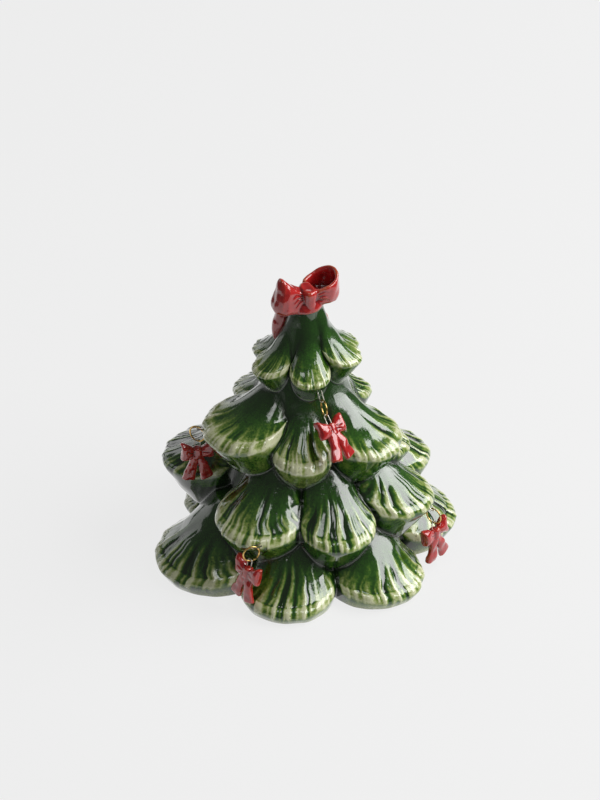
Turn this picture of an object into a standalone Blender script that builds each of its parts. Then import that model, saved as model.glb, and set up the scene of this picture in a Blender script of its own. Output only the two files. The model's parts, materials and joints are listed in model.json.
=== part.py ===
"""Glazed ceramic christmas tree figurine with a bow on top and small bows hung from its boughs.

The tree is a hollow slip casting: four rings of fluted, petal shaped boughs round a cone.
The red bow on top is moulded separately. Every small bow hangs by its own wire eyelet from a
jump ring, and the jump ring hangs from a wire eyelet set in the rim of a bough.

Azimuths are measured from the front, where -Y is the front and +X is the right hand side.
"""

import math
from collections import namedtuple

import bmesh
import bpy
from mathutils import Matrix, Vector

MM = 0.001

# Tree body, slip cast
CONE_TOP_RADIUS = 8.4 * MM
CONE_TOP_HEIGHT = 142.6 * MM
CORE_SHARE = 0.58
SIDE_SHARE = 0.46
HEART_SHARE = 0.25
TOP_SIDE_SHARE = 0.93
APEX_SPREAD_SHARE = 0.68
UNDERSIDE_SLOPE_DEG = 35
UNDERSIDE_DEPTH = 22 * MM
SIDE_LIFT = 6.0 * MM
FLUTE_DEPTH = 1.1 * MM
WALL = 5.0 * MM
CAVITY_SHARE = 0.75
BASE_THICKNESS = 6.0 * MM
CAVITY_TOP_DROP = 16 * MM
VENT_DIAMETER = 9.0 * MM
FOOT_RECESS_DEPTH = 1.5 * MM
FOOT_RECESS_SHARE = 0.6
TRIM_ALLOWANCE = 3.0 * MM

# Top bow, moulded separately and fixed on the cone
BOW_LENGTH = 37 * MM
BOW_YAW_DEG = 21
BOW_KNOT_WIDTH = 6.6 * MM
BOW_KNOT_DEPTH = 12.0 * MM
BOW_KNOT_FORWARD = 1.9 * MM
BOW_KNOT_HEIGHT = 11.4 * MM
BOW_RIBBON = 2.6 * MM
BOW_LOOP_START = 7.8 * MM
BOW_LOOP_STEPS = 15
BOW_TAIL_WIDTH = 8.0 * MM
BOW_TAIL_STAND = 1.3 * MM
BOW_TAILS = ((-133, 27 * MM), (140, 21 * MM))
# Each section of the knot and of a tail: a share of the height or length, and a share of the width
BOW_KNOT_SECTIONS = ((-0.5, 0.72), (-0.36, 0.96), (0.0, 1.0), (0.36, 0.96), (0.5, 0.72))
BOW_TAIL_SECTIONS = ((0.18, 0.85), (0.45, 0.95), (0.75, 1.0), (1.0, 0.8))

# Hanging bows and their wires
EYELET_WIRE = 0.6 * MM
EYELET_WIDTH = 2.6 * MM
EYELET_SET_DEPTH = 3.2 * MM
RING_WIRE = 0.8 * MM
RING_DIAMETER = 9.0 * MM
CHARM_WIDTH = 17.5 * MM
CHARM_LOOP_HEIGHT = 8.8 * MM
CHARM_THICKNESS = 4.6 * MM
CHARM_KNOT_WIDTH = 4.0 * MM
CHARM_KNOT_HEIGHT = 6.2 * MM
CHARM_TAIL_LENGTH = 14.2 * MM
CHARM_TAIL_WIDTH = 5.6 * MM
CHARM_TAIL_THICKNESS = 2.8 * MM
CHARM_TAIL_START = 0.2
CHARM_TAIL_SPREAD = 0.42
CHARM_TAIL_SLANT = 0.32
CHARM_EYELET_WIDTH = 3.4 * MM
CHARM_EYELET_RISE = 4.6 * MM
CHARM_EYELET_SET_DEPTH = 2.4 * MM
# Sections of the small bow: share of the height or length first, then shares of its sizes
CHARM_KNOT_SECTIONS = ((-0.5, 0.7), (-0.3, 1.0), (0.3, 1.0), (0.5, 0.7))
CHARM_LOOP_SECTIONS = (
    (0.06, 0.42, 0.55, 0.0),
    (0.35, 0.66, 0.78, 0.04),
    (0.7, 0.92, 0.92, 0.10),
    (0.93, 1.0, 0.80, 0.13),
    (1.0, 0.86, 0.45, 0.13),
)
CHARM_TAIL_SECTIONS = ((0.0, 0.55, 0), (0.5, 0.85, 0), (1.0, 1.0, 1))

# Clearances
SEAT_GAP = 0.3 * MM
WIRE_GAP = 0.2 * MM

Tier = namedtuple("Tier", "top_radius top_height reach rim_height flare_deg nose flutes boughs")
Bough = namedtuple("Bough", "azimuth more_reach raised half_width")
BowLoop = namedtuple("BowLoop", "side depth tall rise tilt pinch spread")
Hanging = namedtuple(
    "Hanging", "tier bough across out drop leg_deg wire_azimuth lean_deg bow_azimuth swing_deg"
)

TIERS = (
    Tier(
        top_radius=CONE_TOP_RADIUS,
        top_height=CONE_TOP_HEIGHT,
        reach=28 * MM,
        rim_height=108.5 * MM,
        flare_deg=27,
        nose=2.6 * MM,
        flutes=5,
        boughs=(
            Bough(8, 0, 0, 34),
            Bough(69, 0.8 * MM, 4.5 * MM, 34),
            Bough(126, 2 * MM, 0, 34),
            Bough(180, 0, 0, 34),
            Bough(238, 1 * MM, -2 * MM, 34),
            Bough(301, 0.5 * MM, 0, 34),
        ),
    ),
    Tier(
        top_radius=15 * MM,
        top_height=104 * MM,
        reach=50 * MM,
        rim_height=76 * MM,
        flare_deg=15,
        nose=4.4 * MM,
        flutes=6,
        boughs=(
            Bough(-2, -3 * MM, -5 * MM, 31),
            Bough(54, 4.5 * MM, -2.5 * MM, 33),
            Bough(86, 2 * MM, -18 * MM, 24),
            Bough(125, -12 * MM, 2 * MM, 30),
            Bough(176, -3 * MM, -2 * MM, 32),
            Bough(228, -7 * MM, 0, 33),
            Bough(302, 5.5 * MM, 1.5 * MM, 38),
        ),
    ),
    Tier(
        top_radius=31 * MM,
        top_height=68 * MM,
        reach=66 * MM,
        rim_height=38 * MM,
        flare_deg=7,
        nose=4.4 * MM,
        flutes=7,
        boughs=(
            Bough(-29, 0, -1 * MM, 33),
            Bough(19, 1 * MM, -1 * MM, 27),
            Bough(65, 2 * MM, 1 * MM, 27),
            Bough(112, 0, 0, 29),
            Bough(159, 0, 0, 29),
            Bough(206, 1 * MM, 1 * MM, 30),
            Bough(255, 7 * MM, 2 * MM, 30),
        ),
    ),
    Tier(
        top_radius=46 * MM,
        top_height=36 * MM,
        reach=75.5 * MM,
        rim_height=5 * MM,
        flare_deg=2,
        nose=4.0 * MM,
        flutes=7,
        boughs=(
            Bough(-9, 1 * MM, 0, 29),
            Bough(41, 1.5 * MM, 0, 29),
            Bough(97, 0.5 * MM, 4 * MM, 32),
            Bough(146, 0, 0, 29),
            Bough(193, 0, 0, 29),
            Bough(242, -10 * MM, 2 * MM, 31),
            Bough(298, 5 * MM, 1 * MM, 34),
        ),
    ),
)

# The top bow's loops: pinched and spread are shares by which the top edge is drawn in
BOW_LOOPS = (
    BowLoop(-1, 14.0 * MM, 17.0 * MM, -2.5 * MM, 0, 0.3, 0.05),
    BowLoop(1, 17.2 * MM, 13.4 * MM, -0.6 * MM, 2.0 * MM, 0, 0),
)

# Where the small bows hang: four at the front and sides, three round the back
HANGINGS = (
    Hanging(0, 0, 0.26, 1.6 * MM, 7.4 * MM, 50, 110, 45, 38, -12),
    Hanging(1, 6, -0.44, 2.4 * MM, 2 * MM, 66, -30, 0, 14, 0),
    Hanging(2, 0, 0.2, 2.4 * MM, -1.5 * MM, 78, 20, 8, -48, 4),
    Hanging(2, 2, 0.05, 1.2 * MM, 3 * MM, 52, -35, 0, 48, -8),
    Hanging(0, 3, 0.1, 0.6 * MM, 5.5 * MM, 50, 270, 42, 182, 6),
    Hanging(1, 4, 0, 0.8 * MM, 4.5 * MM, 42, 80, 30, 176, 0),
    Hanging(2, 5, 0.35, 1.2 * MM, 4 * MM, 42, 180, 12, 290, 0),
)

# Places along a bough: 0 to 1 is the top, 1 to 2 the rounded nose and 2 to 3 the underside
BOUGH_ROWS = (0, 0.35, 0.65, 0.87, 1.0, 1.5, 2.0, 3.0)
FLUTE_FADE = ((0.25, 0), (0.6, 0.9), (0.9, 1.0), (1.5, 0.6), (2.0, 0.25), (2.2, 0))


def clear_scene():
    for thing in list(bpy.data.objects):
        bpy.data.objects.remove(thing, do_unlink=True)


def make_collection(name):
    collection = bpy.data.collections.new(name)
    bpy.context.scene.collection.children.link(collection)
    return collection


def make_material(name, colour, roughness, metallic=0.0):
    material = bpy.data.materials.new(name)
    material.use_nodes = True
    shader = material.node_tree.nodes["Principled BSDF"]
    shader.inputs["Base Color"].default_value = (*colour, 1)
    shader.inputs["Roughness"].default_value = roughness
    shader.inputs["Metallic"].default_value = metallic
    material.diffuse_color = (*colour, 1)
    return material


def outward(azimuth_deg):
    """The horizontal unit vector at an azimuth from the front."""
    angle = math.radians(azimuth_deg)
    return Vector((math.sin(angle), -math.cos(angle), 0))


def polar(radius, azimuth_deg, height):
    return outward(azimuth_deg) * radius + Vector((0, 0, height))


def interpolate(pairs, place):
    """The value at a place along a run of (place, value) pairs."""
    if place <= pairs[0][0]:
        return pairs[0][1]
    for (low, first), (high, second) in zip(pairs, pairs[1:]):
        if place <= high:
            return first + (second - first) * (place - low) / (high - low)
    return pairs[-1][1]


def bezier(points, share):
    """A point on the Bezier curve with these control points."""
    while len(points) > 1:
        points = [a.lerp(b, share) for a, b in zip(points, points[1:])]
    return points[0]


def loft(name, sections):
    """A closed mesh through rings of equally many points, capped at both ends."""
    mesh = bpy.data.meshes.new(name)
    shape = bmesh.new()
    rings = [[shape.verts.new(point) for point in section] for section in sections]
    for ring, following in zip(rings, rings[1:]):
        for i in range(len(ring)):
            j = (i + 1) % len(ring)
            shape.faces.new((ring[i], ring[j], following[j], following[i]))
    shape.faces.new(rings[0])
    shape.faces.new(list(reversed(rings[-1])))
    bmesh.ops.recalc_face_normals(shape, faces=shape.faces)
    bmesh.ops.triangulate(shape, faces=shape.faces)
    shape.to_mesh(mesh)
    shape.free()
    return mesh


def add_object(name, data, collection, material=None):
    thing = bpy.data.objects.new(name, data)
    collection.objects.link(thing)
    if material and not data.materials:
        data.materials.append(material)
    return thing


def as_cutter(thing):
    thing.hide_render = True
    thing.display_type = "WIRE"
    return thing


def add_boolean(thing, operation, cutters, solver="EXACT"):
    """Joins or cuts with everything in one collection at once."""
    modifier = thing.modifiers.new(operation.title(), "BOOLEAN")
    modifier.operation = operation
    modifier.operand_type = "COLLECTION"
    modifier.collection = cutters
    modifier.solver = solver
    return modifier


def apply_modifiers(thing):
    """Turns an object into the plain mesh that its modifiers make."""
    graph = bpy.context.evaluated_depsgraph_get()
    mesh = bpy.data.meshes.new_from_object(thing.evaluated_get(graph))
    thing.modifiers.clear()
    thing.data = mesh


def turned(name, profile, steps, collection):
    """A solid turned from a profile that runs down its outer side, as (radius, height) pairs."""
    mesh = bpy.data.meshes.new(name)
    points = [(radius, 0, height) for radius, height in profile]
    mesh.from_pydata(points, [(i, i + 1) for i in range(len(points) - 1)], [])
    thing = add_object(name, mesh, collection)
    screw = thing.modifiers.new("Turn", "SCREW")
    screw.steps = steps
    screw.render_steps = steps
    screw.use_merge_vertices = True
    screw.merge_threshold = 0.00005
    return thing


def crest(tier, bough, place):
    """The (radius, height) of a bough's middle line at a place along it."""
    tip = Vector((tier.reach + bough.more_reach, tier.rim_height + bough.raised))
    top = Vector((tier.top_radius, tier.top_height))
    edge = tip + Vector((-tier.nose, tier.nose))
    line = edge - top
    fall = math.atan2(-line.y, line.x)
    flare = math.radians(tier.flare_deg)
    handle = line.length / 3
    start = Vector((math.cos(fall + flare), -math.sin(fall + flare))) * handle
    end = Vector((math.cos(fall - flare), -math.sin(fall - flare))) * handle
    if place <= 1:
        return bezier([top, top + start, edge - end, edge], place)
    corner = Vector((tip.x, edge.y - 0.4 * tier.nose))
    if place <= 2:
        return bezier([edge, corner, tip], place - 1)
    slope = math.radians(UNDERSIDE_SLOPE_DEG)
    lowest = tip + Vector((-math.sin(slope), -math.cos(slope))) * UNDERSIDE_DEPTH
    below = tip + Vector((0, -0.5 * tier.nose))
    return bezier([tip, below, lowest], place - 2)


def bough_point(tier, index, place, across):
    """A point of a bough's surface. Across runs from -1 to 1 between the bough's sides."""
    bough = tier.boughs[index]
    radius, height = crest(tier, bough, place)
    widening = 1 if tier is TIERS[0] else min(place, 1) ** 0.8
    spread = bough.half_width * (APEX_SPREAD_SHARE + (1 - APEX_SPREAD_SHARE) * widening)
    dome = math.sqrt(max(0, 1 - across * across))
    side = TOP_SIDE_SHARE + (SIDE_SHARE - TOP_SIDE_SHARE) * min(1, place * 1.4)
    radius *= side + (1 - side) * dome
    height += SIDE_LIFT * (1 - dome) * min(place, 1) ** 2
    return polar(radius, bough.azimuth + across * spread, height)


def bough_section(tier, index, place):
    """One ring of points round a bough, fluted across its outer side."""
    count = 2 * tier.flutes
    depth = FLUTE_DEPTH * interpolate(FLUTE_FADE, place)
    points = []
    for i in range(count + 1):
        across = math.sin(math.radians(90 * (2 * i / count - 1)) * 0.9) / math.sin(math.radians(81))
        point = bough_point(tier, index, place, across)
        if i % 2 and 0 < i < count:
            inward = Vector((point.x, point.y, 0)).normalized() * depth
            point -= inward + Vector((0, 0, depth * 0.7))
        points.append(point)
    ends = (points[0] + points[-1]) / 2
    points.append(Vector((ends.x * HEART_SHARE, ends.y * HEART_SHARE, ends.z)))
    return points


def make_boughs(collection):
    for number, tier in enumerate(TIERS, 1):
        for index in range(len(tier.boughs)):
            rings = [bough_section(tier, index, place) for place in BOUGH_ROWS]
            if number == 1:
                spare = Vector((0, 0, TRIM_ALLOWANCE))
                rings.insert(0, [point + spare for point in rings[0]])
            as_cutter(add_object(f"bough_{number}_{index + 1}", loft("bough", rings), collection))


def core_profile():
    top = CONE_TOP_HEIGHT + 0.5 * TRIM_ALLOWANCE
    points = [(0, top), (0.8 * CONE_TOP_RADIUS, top)]
    points += [(tier.reach * CORE_SHARE, tier.rim_height) for tier in TIERS]
    points.append((TIERS[-1].reach * CORE_SHARE, -TRIM_ALLOWANCE))
    points.append((0, -TRIM_ALLOWANCE))
    return points


def cavity_profile():
    points = [(0, CONE_TOP_HEIGHT - CAVITY_TOP_DROP)]
    points.append((CONE_TOP_RADIUS - WALL, CONE_TOP_HEIGHT - CAVITY_TOP_DROP))
    points += [(CAVITY_SHARE * tier.top_radius, tier.top_height) for tier in TIERS[1:]]
    points.append((CAVITY_SHARE * TIERS[-1].top_radius + WALL, BASE_THICKNESS))
    points.append((0, BASE_THICKNESS))
    return points


def add_cylinder(name, radius, low, high, collection, sides=32):
    """A closed cylinder between two points."""
    axis = high - low
    mesh = bpy.data.meshes.new(name)
    shape = bmesh.new()
    bmesh.ops.create_cone(
        shape,
        cap_ends=True,
        segments=sides,
        radius1=radius,
        radius2=radius,
        depth=axis.length,
    )
    shape.to_mesh(mesh)
    shape.free()
    thing = add_object(name, mesh, collection)
    thing.location = (low + high) / 2
    thing.rotation_euler = axis.to_track_quat("Z", "Y").to_euler()
    return thing


def make_tree_body(parts, cutters_root, material):
    """The casting: cone and boughs joined, ground flat, hollowed and drilled for the wires."""
    joined = bpy.data.collections.new("bough_solids")
    cut = bpy.data.collections.new("tree_cutters")
    cutters_root.children.link(joined)
    cutters_root.children.link(cut)

    make_boughs(joined)
    body = turned("tree_body", core_profile(), 48, parts)
    body.data.materials.append(material)
    add_boolean(body, "UNION", joined)
    body.modifiers.new("Triangulate", "TRIANGULATE")

    as_cutter(turned("cavity", cavity_profile(), 40, cut))
    below = Vector((0, 0, -2 * UNDERSIDE_DEPTH))
    widest = 2 * TIERS[-1].reach
    as_cutter(add_cylinder("grinding_cut", widest, below, Vector((0, 0, 0)), cut))
    above = Vector((0, 0, CONE_TOP_HEIGHT))
    spare = Vector((0, 0, 2 * TRIM_ALLOWANCE))
    as_cutter(add_cylinder("top_cut", 2 * CONE_TOP_RADIUS, above, above + spare, cut))
    vent_top = Vector((0, 0, BASE_THICKNESS * 1.5))
    as_cutter(add_cylinder("vent", VENT_DIAMETER / 2, below / 2, vent_top, cut, 24))
    recess_top = Vector((0, 0, FOOT_RECESS_DEPTH))
    recess_radius = TIERS[-1].reach * FOOT_RECESS_SHARE
    as_cutter(add_cylinder("foot_recess", recess_radius, below / 3, recess_top, cut, 40))
    for place in HANGINGS:
        for number, (low, high) in enumerate(eyelet_legs(place), 1):
            radius = EYELET_WIRE / 2 + SEAT_GAP
            name = f"wire_hole_{HANGINGS.index(place) + 1}_{number}"
            as_cutter(add_cylinder(name, radius, low, high, cut, 8))
    add_boolean(body, "DIFFERENCE", cut, "MANIFOLD")
    return body


def hanging_frame(place):
    """Where a jump ring hangs: its point on the wire, and its axes.

    The first axis runs along the wire of the bough's eyelet and is the ring's own axis, the
    third points up the chain, and the second lies across.
    """
    tier = TIERS[place.tier]
    rim = bough_point(tier, place.bough, 2, place.across)
    azimuth = math.degrees(math.atan2(rim.x, -rim.y))
    point = rim + outward(azimuth) * place.out - Vector((0, 0, place.drop))
    along = outward(place.wire_azimuth)
    level = Vector((0, 0, 1)).cross(along)
    if level.dot(outward(azimuth)) < 0:
        along = -along
        level = -level
    lean = math.radians(place.lean_deg)
    up = (Vector((0, 0, math.cos(lean))) - level * math.sin(lean)).normalized()
    return point, along, up.cross(along), up


def frame_matrix(point, along, across, up):
    turn = Matrix((along, across, up)).transposed()
    return Matrix.Translation(point) @ turn.to_4x4()


def leg_direction(place):
    """The way that an eyelet's legs run up into its bough."""
    _, along, _, _ = hanging_frame(place)
    level = Vector((0, 0, 1)).cross(along)
    tilt = math.radians(place.leg_deg)
    return Vector((0, 0, math.cos(tilt))) - level * math.sin(tilt)


def surface_distance(place, start, direction):
    """How far a leg runs from its start before it meets the nose or underside of its bough."""
    tier = TIERS[place.tier]
    steps = 60
    misses = []
    for i in range(steps + 1):
        point = bough_point(tier, place.bough, 1.6 + 1.4 * i / steps, place.across)
        along = (point - start).dot(direction)
        misses.append(((point - start - direction * along).length, along))
    return min(misses)[1]


def eyelet_legs(place):
    """Each leg's run through the ceramic, from just outside its bough to the end of its hole."""
    point, along, _, _ = hanging_frame(place)
    direction = leg_direction(place)
    half = (EYELET_WIDTH - EYELET_WIRE) / 2
    length = eyelet_length(place)
    legs = []
    for side in (-1, 1):
        foot = point + along * half * side
        low = foot + direction * (half + WIRE_GAP)
        legs.append((low, foot + direction * (length + SEAT_GAP)))
    return legs


def eyelet_length(place):
    """From the loop's wire to the end of the legs."""
    point, _, _, _ = hanging_frame(place)
    direction = leg_direction(place)
    return surface_distance(place, point, direction) + EYELET_SET_DEPTH


def hairpin(width, length, steps=6):
    """Points of a wire bent round below, with two legs up to the given length."""
    half = width / 2
    points = [Vector((-half, 0, length))]
    for i in range(steps + 1):
        angle = math.pi * i / steps
        points.append(Vector((-half * math.cos(angle), 0, half - half * math.sin(angle))))
    points.append(Vector((half, 0, length)))
    return points


def wire(name, points, diameter, collection, material):
    """A round wire along straight runs between points."""
    curve = bpy.data.curves.new(name, "CURVE")
    curve.dimensions = "3D"
    curve.bevel_depth = diameter / 2
    curve.bevel_resolution = 1
    curve.use_fill_caps = True
    curve.use_radius = False
    spline = curve.splines.new("POLY")
    spline.points.add(len(points) - 1)
    for target, point in zip(spline.points, points):
        target.co = (*point, 1)
    return add_object(name, curve, collection, material)


def ring_mesh(material):
    """A jump ring round the Y axis of its mesh, hung so that its origin is on the wire above."""
    centreline = (RING_DIAMETER - RING_WIRE) / 2
    mesh = bpy.data.meshes.new("jump_ring")
    bpy.ops.mesh.primitive_torus_add(
        major_radius=centreline,
        minor_radius=RING_WIRE / 2,
        major_segments=16,
        minor_segments=6,
    )
    torus = bpy.context.object
    turn = Matrix.Rotation(math.radians(90), 4, "Y")
    torus.data.transform(Matrix.Translation((0, 0, wire_step() - centreline)) @ turn)
    mesh = torus.data
    mesh.name = "jump_ring"
    bpy.data.objects.remove(torus)
    mesh.materials.append(material)
    return mesh


def wire_step():
    """From the middle of one wire to the middle of the wire that hangs on it."""
    return EYELET_WIRE / 2 + WIRE_GAP + RING_WIRE / 2


def ring_drop():
    """From the wire that a jump ring hangs on to the middle of the ring's lowest wire."""
    return (RING_DIAMETER - RING_WIRE) - wire_step()


def rounded_section(width, height, count, power=2.6):
    """Points round a rounded rectangle, as (across, up) pairs."""
    points = []
    for i in range(count):
        angle = 2 * math.pi * (i + 0.5) / count
        c, s = math.cos(angle), math.sin(angle)
        across = math.copysign(abs(c) ** (2 / power), c) * width / 2
        up = math.copysign(abs(s) ** (2 / power), s) * height / 2
        points.append((across, up))
    return points


def joined_mesh(name, meshes, cut_meshes, material):
    """One mesh from several closed ones, with others cut out of it."""
    scratch = make_collection("scratch")
    join = bpy.data.collections.new("join")
    cut = bpy.data.collections.new("cut")
    scratch.children.link(join)
    scratch.children.link(cut)
    for i, mesh in enumerate(meshes[1:]):
        add_object(f"join_{i}", mesh, join)
    for i, mesh in enumerate(cut_meshes):
        add_object(f"cut_{i}", mesh, cut)
    thing = add_object(name, meshes[0], scratch)
    add_boolean(thing, "UNION", join)
    if cut_meshes:
        add_boolean(thing, "DIFFERENCE", cut)
    bpy.context.view_layer.update()
    apply_modifiers(thing)
    result = thing.data
    result.name = name
    result.materials.clear()
    result.materials.append(material)
    for collection in (scratch, join, cut):
        for piece in list(collection.objects):
            bpy.data.objects.remove(piece)
    for collection in (join, cut, scratch):
        bpy.data.collections.remove(collection)
    return result


def charm_top():
    """How far a charm's knot lies below the ring wire that the charm hangs on."""
    return CHARM_EYELET_RISE - wire_step()


def charm_mesh(material):
    """A small moulded bow, with its origin on the ring wire that it hangs on."""
    knot_middle = -charm_top() - CHARM_KNOT_HEIGHT / 2
    half = CHARM_WIDTH / 2
    meshes = []

    knot = []
    for share, size in CHARM_KNOT_SECTIONS:
        section = rounded_section(CHARM_KNOT_WIDTH * size, CHARM_THICKNESS * size, 8)
        height = knot_middle + share * CHARM_KNOT_HEIGHT
        knot.append([Vector((x, y, height)) for x, y in section])
    meshes.append(loft("knot", knot))

    for side in (-1, 1):
        rings = []
        for share, tall, thick, rise in CHARM_LOOP_SECTIONS:
            section = rounded_section(CHARM_THICKNESS * thick, CHARM_LOOP_HEIGHT * tall, 10, 3.2)
            middle = knot_middle + rise * CHARM_LOOP_HEIGHT
            rings.append([Vector((side * half * share, y, middle + z)) for y, z in section])
        meshes.append(loft("loop", rings))

        rings = []
        tail_top = knot_middle - CHARM_TAIL_START * CHARM_KNOT_HEIGHT
        for share, wide, slant in CHARM_TAIL_SECTIONS:
            out = side * half * (0.12 + CHARM_TAIL_SPREAD * share)
            ring = []
            for x, y in rounded_section(CHARM_TAIL_WIDTH * wide, CHARM_TAIL_THICKNESS, 8, 3.2):
                end = slant * CHARM_TAIL_SLANT * side * x
                ring.append(Vector((out + x, y, tail_top - share * CHARM_TAIL_LENGTH + end)))
            rings.append(ring)
        meshes.append(loft("tail", rings))

    holes = []
    spread = (CHARM_EYELET_WIDTH - EYELET_WIRE) / 2
    radius = EYELET_WIRE / 2 + SEAT_GAP
    low = wire_step() - CHARM_EYELET_RISE - CHARM_EYELET_SET_DEPTH - SEAT_GAP
    for side in (-1, 1):
        rings = []
        for height in (0, low):
            ring = []
            for i in range(8):
                angle = math.pi * (i + 0.5) / 4
                x = side * spread + radius * math.cos(angle)
                ring.append(Vector((x, radius * math.sin(angle), height)))
            rings.append(ring)
        holes.append(loft("hole", rings))
    return joined_mesh("charm_bow", meshes, holes, material)


def charm_eyelet_points():
    """The charm's wire: legs set in the knot, bent over the jump ring."""
    length = CHARM_EYELET_RISE + CHARM_EYELET_SET_DEPTH
    turned_over = hairpin(CHARM_EYELET_WIDTH - EYELET_WIRE, length)
    return [Vector((p.x, 0, wire_step() - p.z)) for p in turned_over]


def make_hangings(parts, pearl_wire, gold, red):
    """Every small bow with its two eyelets and its jump ring."""
    ring = ring_mesh(gold)
    charm = charm_mesh(red)
    for number, place in enumerate(HANGINGS, 1):
        point, along, across, up = hanging_frame(place)
        direction = leg_direction(place)
        eyelet_frame = frame_matrix(point, along, direction.cross(along), direction)
        points = hairpin(EYELET_WIDTH - EYELET_WIRE, eyelet_length(place))
        eyelet = wire(f"bough_eyelet_{number}", points, EYELET_WIRE, parts, pearl_wire)
        eyelet.matrix_world = eyelet_frame

        jump = add_object(f"jump_ring_{number}", ring, parts)
        jump.matrix_world = frame_matrix(point, along, across, up)

        low = point - up * ring_drop()
        facing = outward(place.bow_azimuth)
        facing = (facing - up * facing.dot(up)).normalized()
        side = facing.cross(up).normalized()
        swing = Matrix.Rotation(math.radians(place.swing_deg), 4, "Y")
        charm_frame = frame_matrix(low, -side, -facing, up) @ swing
        hung = add_object(f"charm_bow_{number}", charm, parts)
        hung.matrix_world = charm_frame
        loop = wire(
            f"charm_eyelet_{number}", charm_eyelet_points(), EYELET_WIRE, parts, pearl_wire
        )
        loop.matrix_world = charm_frame


def bow_loop(loop, level):
    """One open loop of the top bow, standing on edge: out along the front, back along the rear."""
    half = (BOW_LENGTH - BOW_RIBBON) / 2
    deep = (loop.depth - BOW_RIBBON) / 2
    path = []
    heights = []
    for i in range(BOW_LOOP_STEPS):
        turn = math.pi * (2 * i / (BOW_LOOP_STEPS - 1) - 1)
        reach = 0.08 + 0.92 * (0.5 + 0.5 * math.cos(turn)) ** 0.72
        back = math.sin(turn * 5 / 6)
        tall = BOW_LOOP_START * (1 - reach) + loop.tall * reach
        beyond_cone = max(0, 2 * reach - 1)
        lift = (loop.rise + loop.tilt * (1 + back)) * beyond_cone
        path.append(Vector((loop.side * half * reach, deep * back, level + lift + tall / 2)))
        heights.append(tall)
    rings = []
    for i, point in enumerate(path):
        before = path[max(i - 1, 0)]
        after = path[min(i + 1, len(path) - 1)]
        ahead = after - before
        across = Vector((-ahead.y, ahead.x, 0)).normalized()
        ring = []
        for x, z in rounded_section(BOW_RIBBON, heights[i], 8, 3.5):
            spot = point + across * x
            up = z / (0.5 * heights[i])
            spot.x *= 1 - loop.spread * up
            spot.y *= 1 - loop.pinch * up
            ring.append(spot + Vector((0, 0, z)))
        rings.append(ring)
    return rings


def cone_radius(azimuth, height):
    """How far the uppermost boughs reach in a direction at a height."""
    tier = TIERS[0]
    widest = 0
    for index, bough in enumerate(tier.boughs):
        turn = (azimuth - bough.azimuth + 180) % 360 - 180
        across = turn / bough.half_width
        if abs(across) > 1:
            continue
        for i in range(41):
            point = bough_point(tier, index, i / 40, across)
            if point.z >= height:
                widest = max(widest, math.hypot(point.x, point.y))
    return widest


def bow_tail(azimuth, length, level):
    """A tail of the top bow: over the edge of the cone and down its back."""
    thick = 0.85 * BOW_RIBBON
    stand = thick / 2 + SEAT_GAP
    path = [(0.35 * CONE_TOP_RADIUS, level + 0.22 * BOW_KNOT_HEIGHT, 0.5)]
    path.append((CONE_TOP_RADIUS, level + stand + 0.1 * BOW_KNOT_HEIGHT, 0.65))
    for share, wide in BOW_TAIL_SECTIONS:
        height = level - share * length
        path.append((cone_radius(azimuth, height) + stand + BOW_TAIL_STAND, height, wide))
    rings = []
    side = outward(azimuth + 90)
    for i, (radius, height, wide) in enumerate(path):
        before = path[max(i - 1, 0)]
        after = path[min(i + 1, len(path) - 1)]
        ahead = Vector((after[0] - before[0], after[1] - before[1])).normalized()
        normal = outward(azimuth) * -ahead.y + Vector((0, 0, ahead.x))
        middle_point = polar(radius, azimuth, height)
        ring = []
        for x, y in rounded_section(BOW_TAIL_WIDTH * wide, thick, 8, 3.0):
            ring.append(middle_point + side * x + normal * y)
        rings.append(ring)
    return rings


def make_top_bow(parts, red):
    """Two open loops, a knot and two tails, resting on the flat top of the cone."""
    level = CONE_TOP_HEIGHT + SEAT_GAP
    yaw = Matrix.Rotation(math.radians(BOW_YAW_DEG), 4, "Z")
    knot = []
    for share, size in BOW_KNOT_SECTIONS:
        section = rounded_section(BOW_KNOT_WIDTH * size, BOW_KNOT_DEPTH * size, 12)
        height = level + (0.5 + share) * BOW_KNOT_HEIGHT
        knot.append([yaw @ Vector((x, y - BOW_KNOT_FORWARD, height)) for x, y in section])
    meshes = [loft("knot", knot)]
    for loop in BOW_LOOPS:
        rings = bow_loop(loop, level)
        meshes.append(loft("loop", [[yaw @ point for point in ring] for ring in rings]))
    for azimuth, length in BOW_TAILS:
        meshes.append(loft("tail", bow_tail(azimuth, length, level)))
    return add_object("top_bow", joined_mesh("top_bow", meshes, [], red), parts)


def shade(parts):
    for thing in parts.objects:
        if thing.type == "MESH":
            thing.data.shade_smooth()
            thing.data.set_sharp_from_angle(angle=math.radians(40))


def build():
    clear_scene()
    parts = make_collection("christmas_tree_figurine")
    cutters = make_collection("cutters")
    cutters.hide_render = True
    green = make_material("green_glaze", (0.05, 0.16, 0.03), 0.12)
    red = make_material("red_glaze", (0.52, 0.03, 0.03), 0.2)
    silver = make_material("silver_wire", (0.6, 0.6, 0.58), 0.3, 1.0)
    gold = make_material("gold_wire", (0.8, 0.58, 0.25), 0.25, 1.0)
    make_tree_body(parts, cutters, green)
    make_top_bow(parts, red)
    make_hangings(parts, silver, gold, red)
    bpy.context.view_layer.update()
    shade(parts)


build()
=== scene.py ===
# %% [markdown]
# # A glazed christmas tree figurine, piece by piece
# The real object is a hollow ceramic casting: rings of fluted boughs under a green glaze, a red
# bow on top, and small red bows that hang from the rims on wire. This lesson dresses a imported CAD
# model of it. First come the camera and the light, then the casting, the bows and the wires, and
# each material is made just before the piece that wears it.

# %% Load the CAD frame
import json
import math
from collections import namedtuple

import bmesh
import bpy
import numpy as np
from mathutils import Matrix, Vector


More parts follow.
